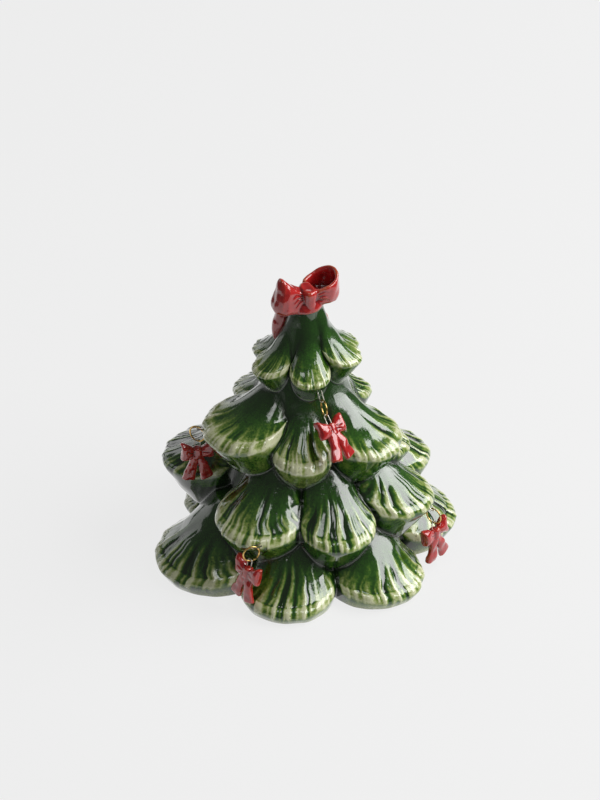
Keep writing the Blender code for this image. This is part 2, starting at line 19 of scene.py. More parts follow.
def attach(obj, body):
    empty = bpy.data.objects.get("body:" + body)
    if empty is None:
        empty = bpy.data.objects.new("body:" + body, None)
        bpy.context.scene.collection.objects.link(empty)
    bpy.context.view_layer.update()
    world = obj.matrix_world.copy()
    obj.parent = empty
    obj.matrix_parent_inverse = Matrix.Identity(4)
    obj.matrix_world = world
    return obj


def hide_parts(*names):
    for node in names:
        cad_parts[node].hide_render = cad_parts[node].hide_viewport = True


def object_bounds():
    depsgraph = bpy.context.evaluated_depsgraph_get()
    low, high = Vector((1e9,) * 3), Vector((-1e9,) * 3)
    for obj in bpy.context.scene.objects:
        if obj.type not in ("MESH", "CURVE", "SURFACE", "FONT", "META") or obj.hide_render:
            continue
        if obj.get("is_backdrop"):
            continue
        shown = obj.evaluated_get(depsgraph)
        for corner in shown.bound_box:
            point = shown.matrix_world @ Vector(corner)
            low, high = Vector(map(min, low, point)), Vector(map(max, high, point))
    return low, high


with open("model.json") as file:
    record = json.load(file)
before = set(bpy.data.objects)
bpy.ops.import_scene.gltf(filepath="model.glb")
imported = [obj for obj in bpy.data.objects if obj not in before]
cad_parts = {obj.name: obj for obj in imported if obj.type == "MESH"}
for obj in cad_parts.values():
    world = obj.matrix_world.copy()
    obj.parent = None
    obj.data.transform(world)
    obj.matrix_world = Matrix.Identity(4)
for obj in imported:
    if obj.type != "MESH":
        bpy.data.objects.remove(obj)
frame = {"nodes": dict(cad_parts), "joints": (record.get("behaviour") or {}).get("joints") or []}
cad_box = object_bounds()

MM = 0.001
scene = bpy.context.scene

# %% [markdown]
# ## Camera
# The photograph looks down at the tree by about 35 degrees from a good distance, so the boughs at
# the back look hardly smaller than those in front. A long lens far away gives that flat look. The
# aim is shifted so that the tree's foot falls below and just right of the middle of the picture.

# %% Camera
ELEVATION = math.radians(35)
LENS = 250
SENSOR = 36
PICTURE_HEIGHT = 800
PIXEL = 0.5 * MM
FOOT_OFF_CENTRE = (5, -136)

distance = PICTURE_HEIGHT * PIXEL * LENS / SENSOR
towards_camera = Vector((0, -math.cos(ELEVATION), math.sin(ELEVATION)))
picture_up = Vector((0, math.sin(ELEVATION), math.cos(ELEVATION)))
aim = Vector((-FOOT_OFF_CENTRE[0] * PIXEL, 0, 0)) - picture_up * FOOT_OFF_CENTRE[1] * PIXEL
camera_data = bpy.data.cameras.new("camera")
camera_data.lens = LENS
camera_data.sensor_width = SENSOR
camera_data.clip_end = 20
camera = bpy.data.objects.new("camera", camera_data)
camera.location = aim + towards_camera * distance
camera.rotation_euler = towards_camera.to_track_quat("Z", "Y").to_euler()
scene.collection.objects.link(camera)
scene.camera = camera
print("camera distance in metres:", round(distance, 2))

# %% [markdown]
# ## Light
# A glaze shows the room it stands in. One big soft box hangs high on the right, and its pale
# reflections lie along the right flank of every bough. A small window overhead makes the short
# bright patches on the front, and two dim white panels at the back give the grey rims. The rest
# of the room is dim, so that the glaze stays deep where nothing bright is mirrored.

# %% Lights and world
Light = namedtuple("Light", "name azimuth elevation distance width height radiance")
LIGHTS = (
    Light("soft_box", 91, 42, 1.3, 1.40, 0.82, 5.8),
    Light("window", -16, 66, 1.2, 0.34, 0.26, 3.4),
    Light("left_panel", -118, 12, 1.5, 1.2, 0.5, 0.7),
    Light("back_panel", -165, 14, 1.5, 1.3, 0.5, 0.9),
)
WORLD_STRENGTH = 0.10
PALE_BACKGROUND = 0.855


def around(azimuth, elevation, distance):
    """A point round the tree: azimuth 0 is the front and 90 the right hand side."""
    a, e = math.radians(azimuth), math.radians(elevation)
    flat = distance * math.cos(e)
    return Vector((flat * math.sin(a), -flat * math.cos(a), distance * math.sin(e)))


for light in LIGHTS:
    data = bpy.data.lights.new(light.name, "AREA")
    data.shape = "RECTANGLE"
    data.size, data.size_y = light.width, light.height
    data.energy = light.radiance * math.pi * light.width * light.height
    lamp = bpy.data.objects.new(light.name, data)
    lamp.location = around(light.azimuth, light.elevation, light.distance)
    aim_at = lamp.location - Vector((0, 0, 70 * MM))
    lamp.rotation_euler = aim_at.to_track_quat("Z", "Y").to_euler()
    scene.collection.objects.link(lamp)

world = bpy.data.worlds.new("studio")
world.use_nodes = True
sky = world.node_tree
room = sky.nodes["Background"]
room.inputs["Color"].default_value = (1, 1, 1, 1)
room.inputs["Strength"].default_value = WORLD_STRENGTH
pale = sky.nodes.new("ShaderNodeBackground")
pale.inputs["Strength"].default_value = PALE_BACKGROUND
chooser = sky.nodes.new("ShaderNodeMixShader")
sky.links.new(sky.nodes.new("ShaderNodeLightPath").outputs["Is Camera Ray"], chooser.inputs[0])
sky.links.new(room.outputs[0], chooser.inputs[1])
sky.links.new(pale.outputs[0], chooser.inputs[2])
sky.links.new(chooser.outputs[0], sky.nodes["World Output"].inputs["Surface"])
scene.world = world
scene.view_settings.view_transform = "Standard"
print("lights:", len(LIGHTS))

# %% [markdown]
# ## Small helpers for materials
# Colours are written as they look on a screen, from 0 to 255, and turned into the linear values
# that a shader wants. `node` adds one shader node with its inputs set by name, and links when a
# value is another node's output.

# %% Node helpers


def paint(red, green, blue):
    """A screen colour as a linear one."""
    channels = []
    for value in (red, green, blue):
        share = value / 255
        channels.append(share / 12.92 if share <= 0.04045 else ((share + 0.055) / 1.055) ** 2.4)
    return (*channels, 1)


def node(tree, kind, inputs=None, **settings):
    made = tree.nodes.new(kind)
    for name, value in settings.items():
        setattr(made, name, value)
    for name, value in (inputs or {}).items():
        if isinstance(value, bpy.types.NodeSocket):
            tree.links.new(value, made.inputs[name])
        else:
            made.inputs[name].default_value = value
    return made


def ramp(tree, value, stops, smooth=False):
    """A colour ramp through (place, colour) stops."""
    made = node(tree, "ShaderNodeValToRGB", {"Fac": value})
    made.color_ramp.interpolation = "EASE" if smooth else "LINEAR"
    while len(made.color_ramp.elements) < len(stops):
        made.color_ramp.elements.new(0.5)
    for element, (place, colour) in zip(made.color_ramp.elements, stops):
        element.position = place
        element.color = colour
    return made.outputs["Color"]


def sockets(group, in_out, kind, *names):
    """Adds sockets of one kind to a node group and returns them."""
    kind = "NodeSocket" + kind
    return [group.interface.new_socket(name, in_out=in_out, socket_type=kind) for name in names]


def sums(tree, operation, first, second, third=0.0, clamp=False):
    made = node(tree, "ShaderNodeMath", {0: first, 1: second, 2: third}, operation=operation)
    made.use_clamp = clamp
    return made.outputs[0]


def new_material(name):
    material = bpy.data.materials.new(name)
    material.use_nodes = True
    return material, material.node_tree, material.node_tree.nodes["Principled BSDF"]


# %% [markdown]
# ## Floor
# The tree stands on a small pale table that runs just out of the picture. For the camera the table
# mixes its own soft shade with a steady pale grey, so that it keeps the tree's shadow and stays
# even right up to the edges. Reflections see the same table and, past its edge, the dim room, and
# that keeps the glaze deep green wherever the clay leans back.

# %% Floor
FLOOR_COLOUR = paint(222, 222, 222)
FLOOR_GLOW = 0.78
FLOOR_SHADE = 0.10
FLOOR_SIDE, FLOOR_FRONT, FLOOR_BACK = 0.45, -0.34, 0.75

floor_mesh = bpy.data.meshes.new("floor")
corners = [(-FLOOR_SIDE, FLOOR_FRONT, 0), (FLOOR_SIDE, FLOOR_FRONT, 0)]
corners += [(FLOOR_SIDE, FLOOR_BACK, 0), (-FLOOR_SIDE, FLOOR_BACK, 0)]
floor_mesh.from_pydata(corners, [], [(0, 1, 2, 3)])
floor = bpy.data.objects.new("floor", floor_mesh)
floor.location.z = -0.00005
scene.collection.objects.link(floor)
material, tree, shader = new_material("pale_table")
shader.inputs["Base Color"].default_value = FLOOR_COLOUR
shader.inputs["Roughness"].default_value = 0.6
shader.inputs["Specular IOR Level"].default_value = 0.1
path = node(tree, "ShaderNodeLightPath")
seen = sums(tree, "MAXIMUM", path.outputs["Is Camera Ray"], path.outputs["Is Glossy Ray"])
glow = node(tree, "ShaderNodeEmission", {"Color": (1, 1, 1, 1), "Strength": FLOOR_GLOW})
shade = node(tree, "ShaderNodeBsdfDiffuse", {"Color": (FLOOR_SHADE, FLOOR_SHADE, FLOOR_SHADE, 1)})
both = node(tree, "ShaderNodeAddShader", {0: glow.outputs[0], 1: shade.outputs[0]})
mixed = node(tree, "ShaderNodeMixShader", {0: seen, 1: shader.outputs[0], 2: both.outputs[0]})
tree.links.new(mixed.outputs[0], tree.nodes["Material Output"].inputs["Surface"])
floor_mesh.materials.append(material)
floor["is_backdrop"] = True
print("floor width in metres:", 2 * FLOOR_SIDE)

# %% [markdown]
# ## The casting: what its boughs are
# Each bough is a petal. Its middle line runs down and out from the cone in a shallow S, turns over
# a rounded nose at the rim and comes back underneath. To its sides the petal falls away like a
# dome and lifts a little at the rim. Four rings of such petals overlap round a plain core. The
# numbers are those of the CAD model, in millimetres and degrees.

# %% Bough sizes
Tier = namedtuple("Tier", "top reach rim flare nose flutes depth start boughs")
TIERS = (
    Tier((8.4, 142.6), 28, 108.5, 27, 2.6, 6, 0.8, 0.55, (
        (8, 0, 0, 34), (69, 0.8, 4.5, 34), (126, 2, 0, 34), (180, 0, 0, 34),
        (238, 1, -2, 34), (301, 0.5, 0, 34))),
    Tier((15, 104), 50, 76, 15, 4.4, 6, 1.3, 0.45, (
        (-2, -3, -5, 31), (54, 4.5, -2.5, 33), (86, 2, -18, 24), (125, -12, 2, 30),
        (176, -3, -2, 32), (228, -7, 0, 33), (302, 5.5, 1.5, 38))),
    Tier((31, 68), 66, 38, 7, 4.4, 7, 1.2, 0.38, (
        (-29, 0, -1, 33), (19, 1, -1, 27), (65, 2, 1, 27), (112, 0, 0, 29),
        (159, 0, 0, 29), (206, 1, 1, 30), (255, 7, 2, 30))),
    Tier((46, 36), 75.5, 5, 2, 4.0, 7, 1.25, 0.36, (
        (-9, 1, 0, 29), (41, 1.5, 0, 29), (97, 0.5, 4, 32), (146, 0, 0, 29),
        (193, 0, 0, 29), (242, -10, 2, 31), (298, 5, 1, 34))),
)
# How much paler each bough is painted from mid-bough out, darker below 0, ring by ring in the same
# order
PALENESS = (
    (0.10, 0.14, 0, 0.02, -0.04, 0.20), (0.40, 0.12, 0, 0, 0.02, -0.02, 0.24),
    (0.16, -0.03, 0.04, 0, -0.04, 0, -0.42), (0.04, 0.02, -0.02, 0.03, 0, 0, 0.06),
)
CORE_SHARE = 0.58
SIDE_SHARE, TOP_SIDE_SHARE = 0.46, 0.93
APEX_SPREAD = 0.68
SIDE_LIFT = 6.0
UNDERSIDE_SLOPE, UNDERSIDE_DEPTH = math.radians(35), 22
print("boughs:", sum(len(tier.boughs) for tier in TIERS))


def bezier(points, share):
    """Points on the Bezier curve with these control points."""
    points = [np.asarray(point, float)[None, :] for point in points]
    while len(points) > 1:
        points = [a + (b - a) * share[:, None] for a, b in zip(points, points[1:])]
    return points[0]


def middle_line(tier, bough, places):
    """Radius and height down a bough: 0 to 1 its top, 1 to 2 its nose, 2 to 3 its underside."""
    azimuth, more, raised, half_width = bough
    tip = np.array((tier.reach + more, tier.rim + raised))
    top = np.array(tier.top, float)
    edge = tip + (-tier.nose, tier.nose)
    run = edge - top
    fall, flare = math.atan2(-run[1], run[0]), math.radians(tier.flare)
    handle = np.hypot(*run) / 3
    start = np.array((math.cos(fall + flare), -math.sin(fall + flare))) * handle
    end = np.array((math.cos(fall - flare), -math.sin(fall - flare))) * handle
    corner = (tip[0], edge[1] - 0.4 * tier.nose)
    below = tip + (0, -0.5 * tier.nose)
    slope = (-math.sin(UNDERSIDE_SLOPE), -math.cos(UNDERSIDE_SLOPE))
    lowest = tip + np.array(slope) * UNDERSIDE_DEPTH
    upper = bezier([top, top + start, edge - end, edge], np.clip(places, 0, 1))
    nose = bezier([edge, corner, tip], np.clip(places - 1, 0, 1))
    under = bezier([tip, below, lowest], np.clip(places - 2, 0, 1))
    return np.where(
        (places <= 1)[:, None], upper, np.where((places <= 2)[:, None], nose, under)
    )


# %% [markdown]
# ## The casting: flutes
# The modeller scooped curved flutes out of each bough with a loop tool. They fan out from the
# bough's shoulder and none is quite like its neighbour: some start late and some are shallow. A
# scoop is round at its bottom and leaves a crisp ridge beside it, where the glaze later breaks. So
# each channel gets its own place, depth and start from a fixed seed.

# %% Flutes of one bough
RIDGE_ROUNDING = 0.03
FINE_SHARE = 0.40
# How many channels each flute of the CAD model stands for, broad ones and fine ones
BROAD_COUNT, FINE_COUNT = 2.5, 6.1
FAN_HALF = 1.8
UNEVEN_SPACING = 0.38


def smooth_step(low, high, value):
    share = np.clip((value - low) / (high - low), 0, 1)
    return share * share * (3 - 2 * share)


def groove_fan(random, count, spread, place, start):
    """Scooped channels side by side: 0 on the ridge between two, 1 in a channel's middle."""
    shifts = random.uniform(-UNEVEN_SPACING, UNEVEN_SPACING, count)
    centres = np.linspace(-FAN_HALF, FAN_HALF, count) + shifts * (2 * FAN_HALF) / count
    numbered = np.interp(spread, centres, np.arange(count))
    nearest = np.clip(np.rint(numbered).astype(int), 0, count - 1)
    strength = random.uniform(0.25, 1.0, count)[nearest]
    starts = (start + random.uniform(-0.1, 0.35, count))[nearest]
    ends = random.uniform(1.4, 2.0, count)[nearest]
    valley = np.sqrt(np.cos(np.pi * numbered) ** 2 + RIDGE_ROUNDING) - 0.1
    fade = smooth_step(starts, starts + 0.4, place) * (1 - smooth_step(ends, ends + 0.6, place))
    return valley * strength * fade


def flutes(tier, random, across, place):
    """How deep the pressed grooves are, from 0 to 1, at places on one bough."""
    reach = np.clip(place, 0, 1)
    spread = across / (0.5 + 0.5 * reach ** 0.9)
    bend = random.uniform(-0.16, 0.16)
    spread = spread + bend * (1 - reach) ** 1.5 + 0.03 * np.sin(7 * reach + random.uniform(0, 6))
    main = groove_fan(random, int(tier.flutes * BROAD_COUNT), spread, place, tier.start)
    wavy = spread + 0.012 * np.sin(23 * reach + random.uniform(0, 6))
    fine = groove_fan(random, int(tier.flutes * FINE_COUNT), wavy, place, tier.start + 0.1)
    return np.clip(main + FINE_SHARE * fine * (1 - 0.6 * main), 0, 1.1)


# %% [markdown]
# ## The casting: one surface over all the boughs
# Seen from its axis the tree hides nothing: every direction and height has one outermost point. So
# the whole casting is one sheet of radii over (direction, height). Each bough gives its own radii,
# and a soft maximum joins them, which leaves the small rounded fillets that glaze leaves in the
# creases. The same weights carry which bough a point is on and how far down it lies.

# %% Radii of the casting
COLUMNS = 1080
ROWS = 424
CREASE_SHARPNESS = 2.2
TREE_TOP = 142.6
SHOULDER = 1.6

azimuths = np.linspace(0, 360, COLUMNS, endpoint=False)
heights = np.linspace(0, TREE_TOP, ROWS + 1)
top_places, nose_places = np.linspace(0, 1, 90)[:-1], np.linspace(1, 2, 50)[:-1]
places = np.concatenate((top_places, nose_places, np.linspace(2, 3, 24)))
core_profile = [(0.8 * TIERS[0].top[0], 144.1)]
core_profile += [(tier.reach * CORE_SHARE, tier.rim) for tier in TIERS]
core_profile.append((TIERS[-1].reach * CORE_SHARE, -3))
core_heights = [height for _, height in core_profile][::-1]
core = np.interp(heights, core_heights, [radius for radius, _ in core_profile][::-1])


def bough_field(tier, bough, number):
    """Columns, radii, places and groove depths where one bough can show."""
    azimuth, _, _, half_width = bough
    turn = (azimuths - azimuth + 180) % 360 - 180
    columns = np.nonzero(np.abs(turn) < 1.3 * half_width)[0]
    line = middle_line(tier, bough, places)
    widening = np.ones_like(places) if tier is TIERS[0] else np.minimum(places, 1) ** 0.8
    spread = half_width * (APEX_SPREAD + (1 - APEX_SPREAD) * widening)
    across = turn[columns, None] / spread[None, :]
    dome = np.sqrt(np.clip(1 - across ** 2, 0, 1))
    side = TOP_SIDE_SHARE + (SIDE_SHARE - TOP_SIDE_SHARE) * np.minimum(1, places * 1.4)
    radius = line[:, 0] * (side + (1 - side) * dome)
    radius -= 60 * np.clip(np.abs(across) - 1, 0, None)
    height = line[:, 1] + SIDE_LIFT * (1 - dome) * np.minimum(places, 1) ** 2
    shape = (len(columns), len(heights))
    radii, where, sideways = np.empty(shape), np.empty(shape), np.empty(shape)
    for i in range(len(columns)):
        z = height[i, ::-1]
        radii[i] = np.interp(heights, z, radius[i, ::-1])
        radii[i] -= 2.5 * np.clip(heights - z[-1], 0, None) + 1.2 * np.clip(z[0] - heights, 0, None)
        where[i] = np.interp(heights, z, places[::-1])
        sideways[i] = np.interp(heights, z, across[i, ::-1])
    random = np.random.default_rng(700 + number)
    groove = flutes(tier, random, sideways, where)
    return columns, radii, where, sideways, groove


fields = []
for tier in TIERS:
    for bough in tier.boughs:
        fields.append((tier, bough_field(tier, bough, len(fields))))
most = np.tile(core, (COLUMNS, 1))
for tier, (columns, radii, where, sideways, groove) in fields:
    radii -= tier.depth * groove
    most[columns] = np.maximum(most[columns], radii)
total = np.exp(CREASE_SHARPNESS * (core[None, :] - most))
reach, pool, fan, pale, strongest = (np.zeros_like(most) for _ in range(5))
bough_paleness = [value for ring in PALENESS for value in ring]
for number, (tier, (columns, radii, where, sideways, groove)) in enumerate(fields):
    weight = np.exp(CREASE_SHARPNESS * (radii - most[columns]))
    total[columns] += weight
    reach[columns] += weight * where
    pool[columns] += weight * groove
    fan[columns] += weight * (sideways + 3 * number)
    pale[columns] += weight * bough_paleness[number]
    strongest[columns] = np.maximum(strongest[columns], weight)
cast_radius = most + np.log(total) / CREASE_SHARPNESS
reach, pool, fan, pale, strongest = (
    field / total for field in (reach, pool, fan, pale, strongest))
crease = np.clip((1 - strongest) * 2, 0, 1)
print("widest radius in mm:", round(float(cast_radius.max()), 1))

# %% [markdown]
# The shoulder at the very top and the edge at the table are rounded a little. A casting is also
# never quite even, so a few long waves from a fixed seed lift and sink the surface by a fraction of
# a millimetre.

# %% Handmade unevenness
LUMP_HEIGHT = 0.22
LUMP_WAVES = 26
random = np.random.default_rng(41)
turn = np.radians(azimuths)[:, None]
direction = np.stack((np.sin(turn) + 0 * heights, -np.cos(turn) + 0 * heights))
rough = np.stack((*(direction * cast_radius), np.tile(heights, (COLUMNS, 1))))
lumps = np.zeros_like(cast_radius)
for _ in range(LUMP_WAVES):
    wave = random.normal(0, 1, 3)
    wave *= random.uniform(0.12, 0.75) / np.linalg.norm(wave)
    lumps += np.sin(np.tensordot(wave, rough, 1) + random.uniform(0, 6.28)) / np.sqrt(LUMP_WAVES / 2)
drop = np.clip(heights - (TREE_TOP - SHOULDER), 0, SHOULDER)
cast_radius -= SHOULDER - np.sqrt(SHOULDER ** 2 - drop ** 2)
drop = np.clip(0.8 - heights, 0, 0.8)
cast_radius -= 0.8 - np.sqrt(0.8 ** 2 - drop ** 2)
print("lumps in mm:", round(float(lumps.std() * LUMP_HEIGHT), 2))

# %% [markdown]
# ## The casting: where glaze runs thin
# Glaze drains off ridges and rims and gathers in grooves. A ridge is where the surface stands
# proud of its own blurred copy, so the sheet of radii is blurred at two widths and compared.
# The blur wraps round the tree and mirrors at the top and the foot.

# %% Thin and pooled glaze


def blur(field, columns, rows):
    """A Gaussian blur that wraps round and mirrors up and down."""
    tall = np.concatenate((field, field[:, ::-1]), axis=1)
    waves = np.fft.fft2(tall)
    round_ = np.exp(-2 * (np.pi * columns * np.fft.fftfreq(tall.shape[0])) ** 2)
    upright = np.exp(-2 * (np.pi * rows * np.fft.fftfreq(tall.shape[1])) ** 2)
    return np.fft.ifft2(waves * round_[:, None] * upright[None, :]).real[:, : field.shape[1]]


# Blur widths are in columns and rows of the full sheet
FINE_BLUR, BROAD_BLUR = (3.0, 0.8), (9.0, 1.5)
FINE_WEIGHT, BROAD_WEIGHT = 3.8, 0.35

detail = COLUMNS / 1080
fine, broad = (
    cast_radius - blur(cast_radius, columns * detail, rows * detail)
    for columns, rows in (FINE_BLUR, BROAD_BLUR))
thin = np.clip(fine * FINE_WEIGHT + broad * BROAD_WEIGHT, -1, 1)
print("ridges cover a share of", round(float((thin > 0.15).mean()), 2))

# %% [markdown]
# ## Glaze as a shared node group
# Both glazes break the same way, so one group serves them. It takes how thin the glaze is and
# how deep it pools, stirs both with soft mottling and fine grain, and puts out one mask from 0,
# deep pools, to 1, bare ridges, a mask of iron speckles, and a height for the skin's waves.

# %% Breaking glaze group
def glaze_group():
    group = bpy.data.node_groups.new("breaking glaze", "ShaderNodeTree")
    sockets(group, "INPUT", "Vector", "Vector", "Run")
    for name, value in (
        ("Thin", 0.0), ("Pooled", 0.0), ("Mottle scale", 250.0),
        ("Mottle", 0.2), ("Streaks", 0.2), ("Speckle scale", 900.0),
    ):
        sockets(group, "INPUT", "Float", name)[0].default_value = value
    sockets(group, "OUTPUT", "Float", "Break", "Speckle", "Height")
    given = node(group, "NodeGroupInput").outputs
    blotch = node(group, "ShaderNodeTexNoise", {
        "Vector": given["Vector"], "Scale": given["Mottle scale"], "Detail": 5.0,
        "Roughness": 0.62, "Distortion": 0.6})
    streak = node(group, "ShaderNodeTexNoise", {
        "Vector": given["Run"], "Scale": 1.0, "Detail": 4.0, "Roughness": 0.6})
    centred = sums(group, "SUBTRACT", blotch.outputs["Fac"], 0.5)
    lines = sums(group, "SUBTRACT", streak.outputs["Fac"], 0.5)
    value = sums(group, "SUBTRACT", given["Thin"], given["Pooled"])
    amount = node(group, "ShaderNodeMapRange", {
        "Value": value, "From Min": 0.12, "From Max": 0.42, "To Min": 0.25}).outputs["Result"]
    mottle = sums(group, "MULTIPLY", given["Mottle"], amount)
    value = sums(group, "MULTIPLY_ADD", centred, mottle, value)
    sponged = node(group, "ShaderNodeTexNoise", {
        "Vector": given["Vector"], "Scale": sums(group, "MULTIPLY", given["Mottle scale"], 5.0),
        "Detail": 3.0, "Roughness": 0.7})
    patchy = sums(group, "SUBTRACT", sponged.outputs["Fac"], 0.5)
    value = sums(group, "MULTIPLY_ADD", patchy, sums(group, "MULTIPLY", mottle, 1.1), value)
    brushed = sums(group, "MULTIPLY", given["Streaks"], amount)
    value = sums(group, "MULTIPLY_ADD", lines, brushed, value, clamp=True)
    grain = node(group, "ShaderNodeTexNoise", {
        "Vector": given["Vector"], "Scale": given["Speckle scale"], "Detail": 2.0})
    rare = node(group, "ShaderNodeTexNoise", {
        "Vector": given["Vector"], "Scale": 130.0, "Detail": 2.0})
    dots = node(group, "ShaderNodeMapRange", {
        "Value": grain.outputs["Fac"], "From Min": 0.62, "From Max": 0.69})
    patches = node(group, "ShaderNodeMapRange", {
        "Value": rare.outputs["Fac"], "From Min": 0.44, "From Max": 0.60})
    speckle = sums(group, "MULTIPLY", dots.outputs["Result"], patches.outputs["Result"])
    skin = node(group, "ShaderNodeTexNoise", {
        "Vector": given["Vector"], "Scale": 420.0, "Detail": 2.0})
    height = sums(group, "MULTIPLY_ADD", lines, 0.8, skin.outputs["Fac"])
    result = node(group, "NodeGroupOutput")
    for name, source in (("Break", value), ("Speckle", speckle), ("Height", height)):
        group.links.new(source, result.inputs[name])
    return group


breaking_glaze = glaze_group()


def attribute(tree, name, output="Fac"):
    return node(tree, "ShaderNodeAttribute", attribute_name=name).outputs[output]


def gloss(tree, shader, glaze, smoothest, strength, distance):
    """The glossy top layer of the Coat inputs, and the skin's waves and dullness from the glaze
    group.
    """
    sheen = node(tree, "ShaderNodeMapRange", {
        "Value": glaze.outputs["Break"], "To Min": smoothest, "To Max": smoothest + 0.10})
    tree.links.new(sheen.outputs["Result"], shader.inputs["Roughness"])
    bump = node(tree, "ShaderNodeBump", {
        "Height": glaze.outputs["Height"], "Strength": strength, "Distance": distance})
    tree.links.new(bump.outputs["Normal"], shader.inputs["Normal"])
    shader.inputs["Coat Weight"].default_value = 1.0
    shader.inputs["Coat Roughness"].default_value = 0.04


print("shared glaze inputs:", len(breaking_glaze.interface.items_tree))

# %% [markdown]
# ## Green glaze
# Deep bottle green where the glaze lies thick, through leaf green and olive to a creamy pale green
# where it breaks over rims and ridges, and almost black in the sharp grooves. The further out on
# a bough, the thinner the coat, so the mask starts from the place on the bough. The same mask
# also carries painted shade, darker under the boughs and in the creases between them.

# %% Green glaze material
GREEN_STOPS = (
    (0.00, paint(20, 42, 12)), (0.14, paint(32, 66, 18)), (0.30, paint(48, 90, 26)),
    (0.44, paint(84, 118, 40)), (0.60, paint(128, 150, 70)), (0.78, paint(174, 186, 120)),
    (1.00, paint(218, 221, 180)),
)
GREEN_BREAK, GREEN_POOL = 0.60, 0.22
SPECK_STRENGTH = 0.75


def green_glaze():
    material, tree, shader = new_material("green_glaze")
    place = node(tree, "ShaderNodeTexCoord").outputs["Object"]
    run = attribute(tree, "run", "Vector")
    coat_and_shade = attribute(tree, "coat_and_shade")
    thin = attribute(tree, "thin")
    start = sums(tree, "MULTIPLY_ADD", thin, GREEN_BREAK, coat_and_shade)
    glaze = node(tree, "ShaderNodeGroup", {
        "Vector": place, "Run": run, "Thin": start,
        "Pooled": sums(tree, "MULTIPLY", attribute(tree, "pool"), GREEN_POOL),
        "Mottle scale": 170.0, "Mottle": 0.62, "Streaks": 0.46, "Speckle scale": 1100.0},
        node_tree=breaking_glaze)
    colour = ramp(tree, glaze.outputs["Break"], GREEN_STOPS)
    specks = sums(tree, "MULTIPLY", glaze.outputs["Speckle"], SPECK_STRENGTH)
    spotted = node(tree, "ShaderNodeMix", {"Factor": specks}, data_type="RGBA")
    tree.links.new(colour, spotted.inputs[6])
    spotted.inputs[7].default_value = paint(40, 44, 24)
    tree.links.new(spotted.outputs[2], shader.inputs["Base Color"])
    gloss(tree, shader, glaze, 0.07, 0.35, 0.4 * MM)
    return material


green = green_glaze()
print("green glaze colours:", len(GREEN_STOPS))

# %% [markdown]
# ## The casting as Geometry Nodes
# The sheet of radii follows a rule, so a small node tree casts it: the mesh that goes in is a
# plain unit tube that carries the radii as attributes, and the tree moves each point out to its
# radius plus the handmade lumps. The lump height stays a named input, and the material is set at
# the end.

# %% Cast the tube
def cast_tree_nodes():
    group = bpy.data.node_groups.new("cast boughs", "GeometryNodeTree")
    sockets(group, "INPUT", "Geometry", "Geometry")
    lump, = sockets(group, "INPUT", "Float", "Lump height")
    glaze, = sockets(group, "INPUT", "Material", "Material")
    sockets(group, "OUTPUT", "Geometry", "Geometry")
    given = node(group, "NodeGroupInput").outputs
    radius = node(group, "GeometryNodeInputNamedAttribute", {"Name": "cast_radius"}).outputs[0]
    lumps = node(group, "GeometryNodeInputNamedAttribute", {"Name": "lump"}).outputs[0]
    out = sums(group, "MULTIPLY_ADD", lumps, given["Lump height"], radius)
    spot = node(group, "GeometryNodeInputPosition").outputs[0]
    scale = node(group, "ShaderNodeCombineXYZ", {"X": out, "Y": out, "Z": 1.0}).outputs[0]
    moved = node(group, "ShaderNodeVectorMath", {0: spot, 1: scale}, operation="MULTIPLY")
    placed = node(group, "GeometryNodeSetPosition", {
        "Geometry": given["Geometry"], "Position": moved.outputs[0]})
    plain = node(group, "GeometryNodeRealizeInstances", {"Geometry": placed.outputs[0]})
    dressed = node(group, "GeometryNodeSetMaterial", {
        "Geometry": plain.outputs[0], "Material": given["Material"]})
    result = node(group, "NodeGroupOutput")
    group.links.new(dressed.outputs[0], result.inputs[0])
    return group, {"lump": lump.identifier, "material": glaze.identifier}


def evaluated_mesh(thing, name):
    """The plain mesh that an object's modifiers make."""
    graph = bpy.context.evaluated_depsgraph_get()
    mesh = bpy.data.meshes.new_from_object(thing.evaluated_get(graph))
    mesh.name = name
    return mesh


def add_piece(name, mesh):
    thing = bpy.data.objects.new(name, mesh)
    scene.collection.objects.link(thing)
    return thing


def tube_mesh(radii, levels):
    """A unit tube of quads over the sheet of radii."""
    columns, rows = radii.shape
    points = np.empty((rows, columns, 3), np.float32)
    points[..., 0] = np.sin(np.radians(azimuths))[None, :]
    points[..., 1] = -np.cos(np.radians(azimuths))[None, :]
    points[..., 2] = levels[:, None] * MM
    lower = np.arange((rows - 1) * columns).reshape(rows - 1, columns)
    right = np.roll(lower, -1, axis=1)
    quads = np.stack((lower, right, right + columns, lower + columns), -1).reshape(-1, 4)
    mesh = bpy.data.meshes.new("tube")
    mesh.vertices.add(rows * columns)
    mesh.vertices.foreach_set("co", points.ravel())
    mesh.loops.add(quads.size)
    mesh.loops.foreach_set("vertex_index", quads.ravel())
    mesh.polygons.add(len(quads))
    mesh.polygons.foreach_set("loop_start", np.arange(0, quads.size, 4))
    mesh.update(calc_edges=True)
    return mesh, quads


def vertex_values(mesh, field):
    values = np.empty(len(mesh.vertices) * 3, np.float32)
    mesh.vertices.foreach_get(field, values)
    return values.reshape(-1, 3).astype(float)


def points_of(mesh):
    return vertex_values(mesh, "co")


def normals_of(mesh):
    return vertex_values(mesh, "normal")


def set_points(mesh, points):
    mesh.vertices.foreach_set("co", points.astype(np.float32).ravel())
    mesh.update()


def store(mesh, name, values, kind="FLOAT"):
    layer = mesh.attributes.new(name, kind, "POINT")
    field = "value" if kind == "FLOAT" else "vector"
    layer.data.foreach_set(field, np.ascontiguousarray(values, np.float32).ravel())


tube, quads = tube_mesh(cast_radius, heights)
store(tube, "cast_radius", cast_radius.T * MM)
store(tube, "lump", lumps.T)
caster = add_piece("caster", tube)
cast_nodes, cast_inputs = cast_tree_nodes()
modifier = caster.modifiers.new("cast", "NODES")
modifier.node_group = cast_nodes
modifier[cast_inputs["lump"]] = LUMP_HEIGHT * MM
modifier[cast_inputs["material"]] = green
cast = evaluated_mesh(caster, "cast")
bpy.data.objects.remove(caster)
print("cast points:", len(cast.vertices))

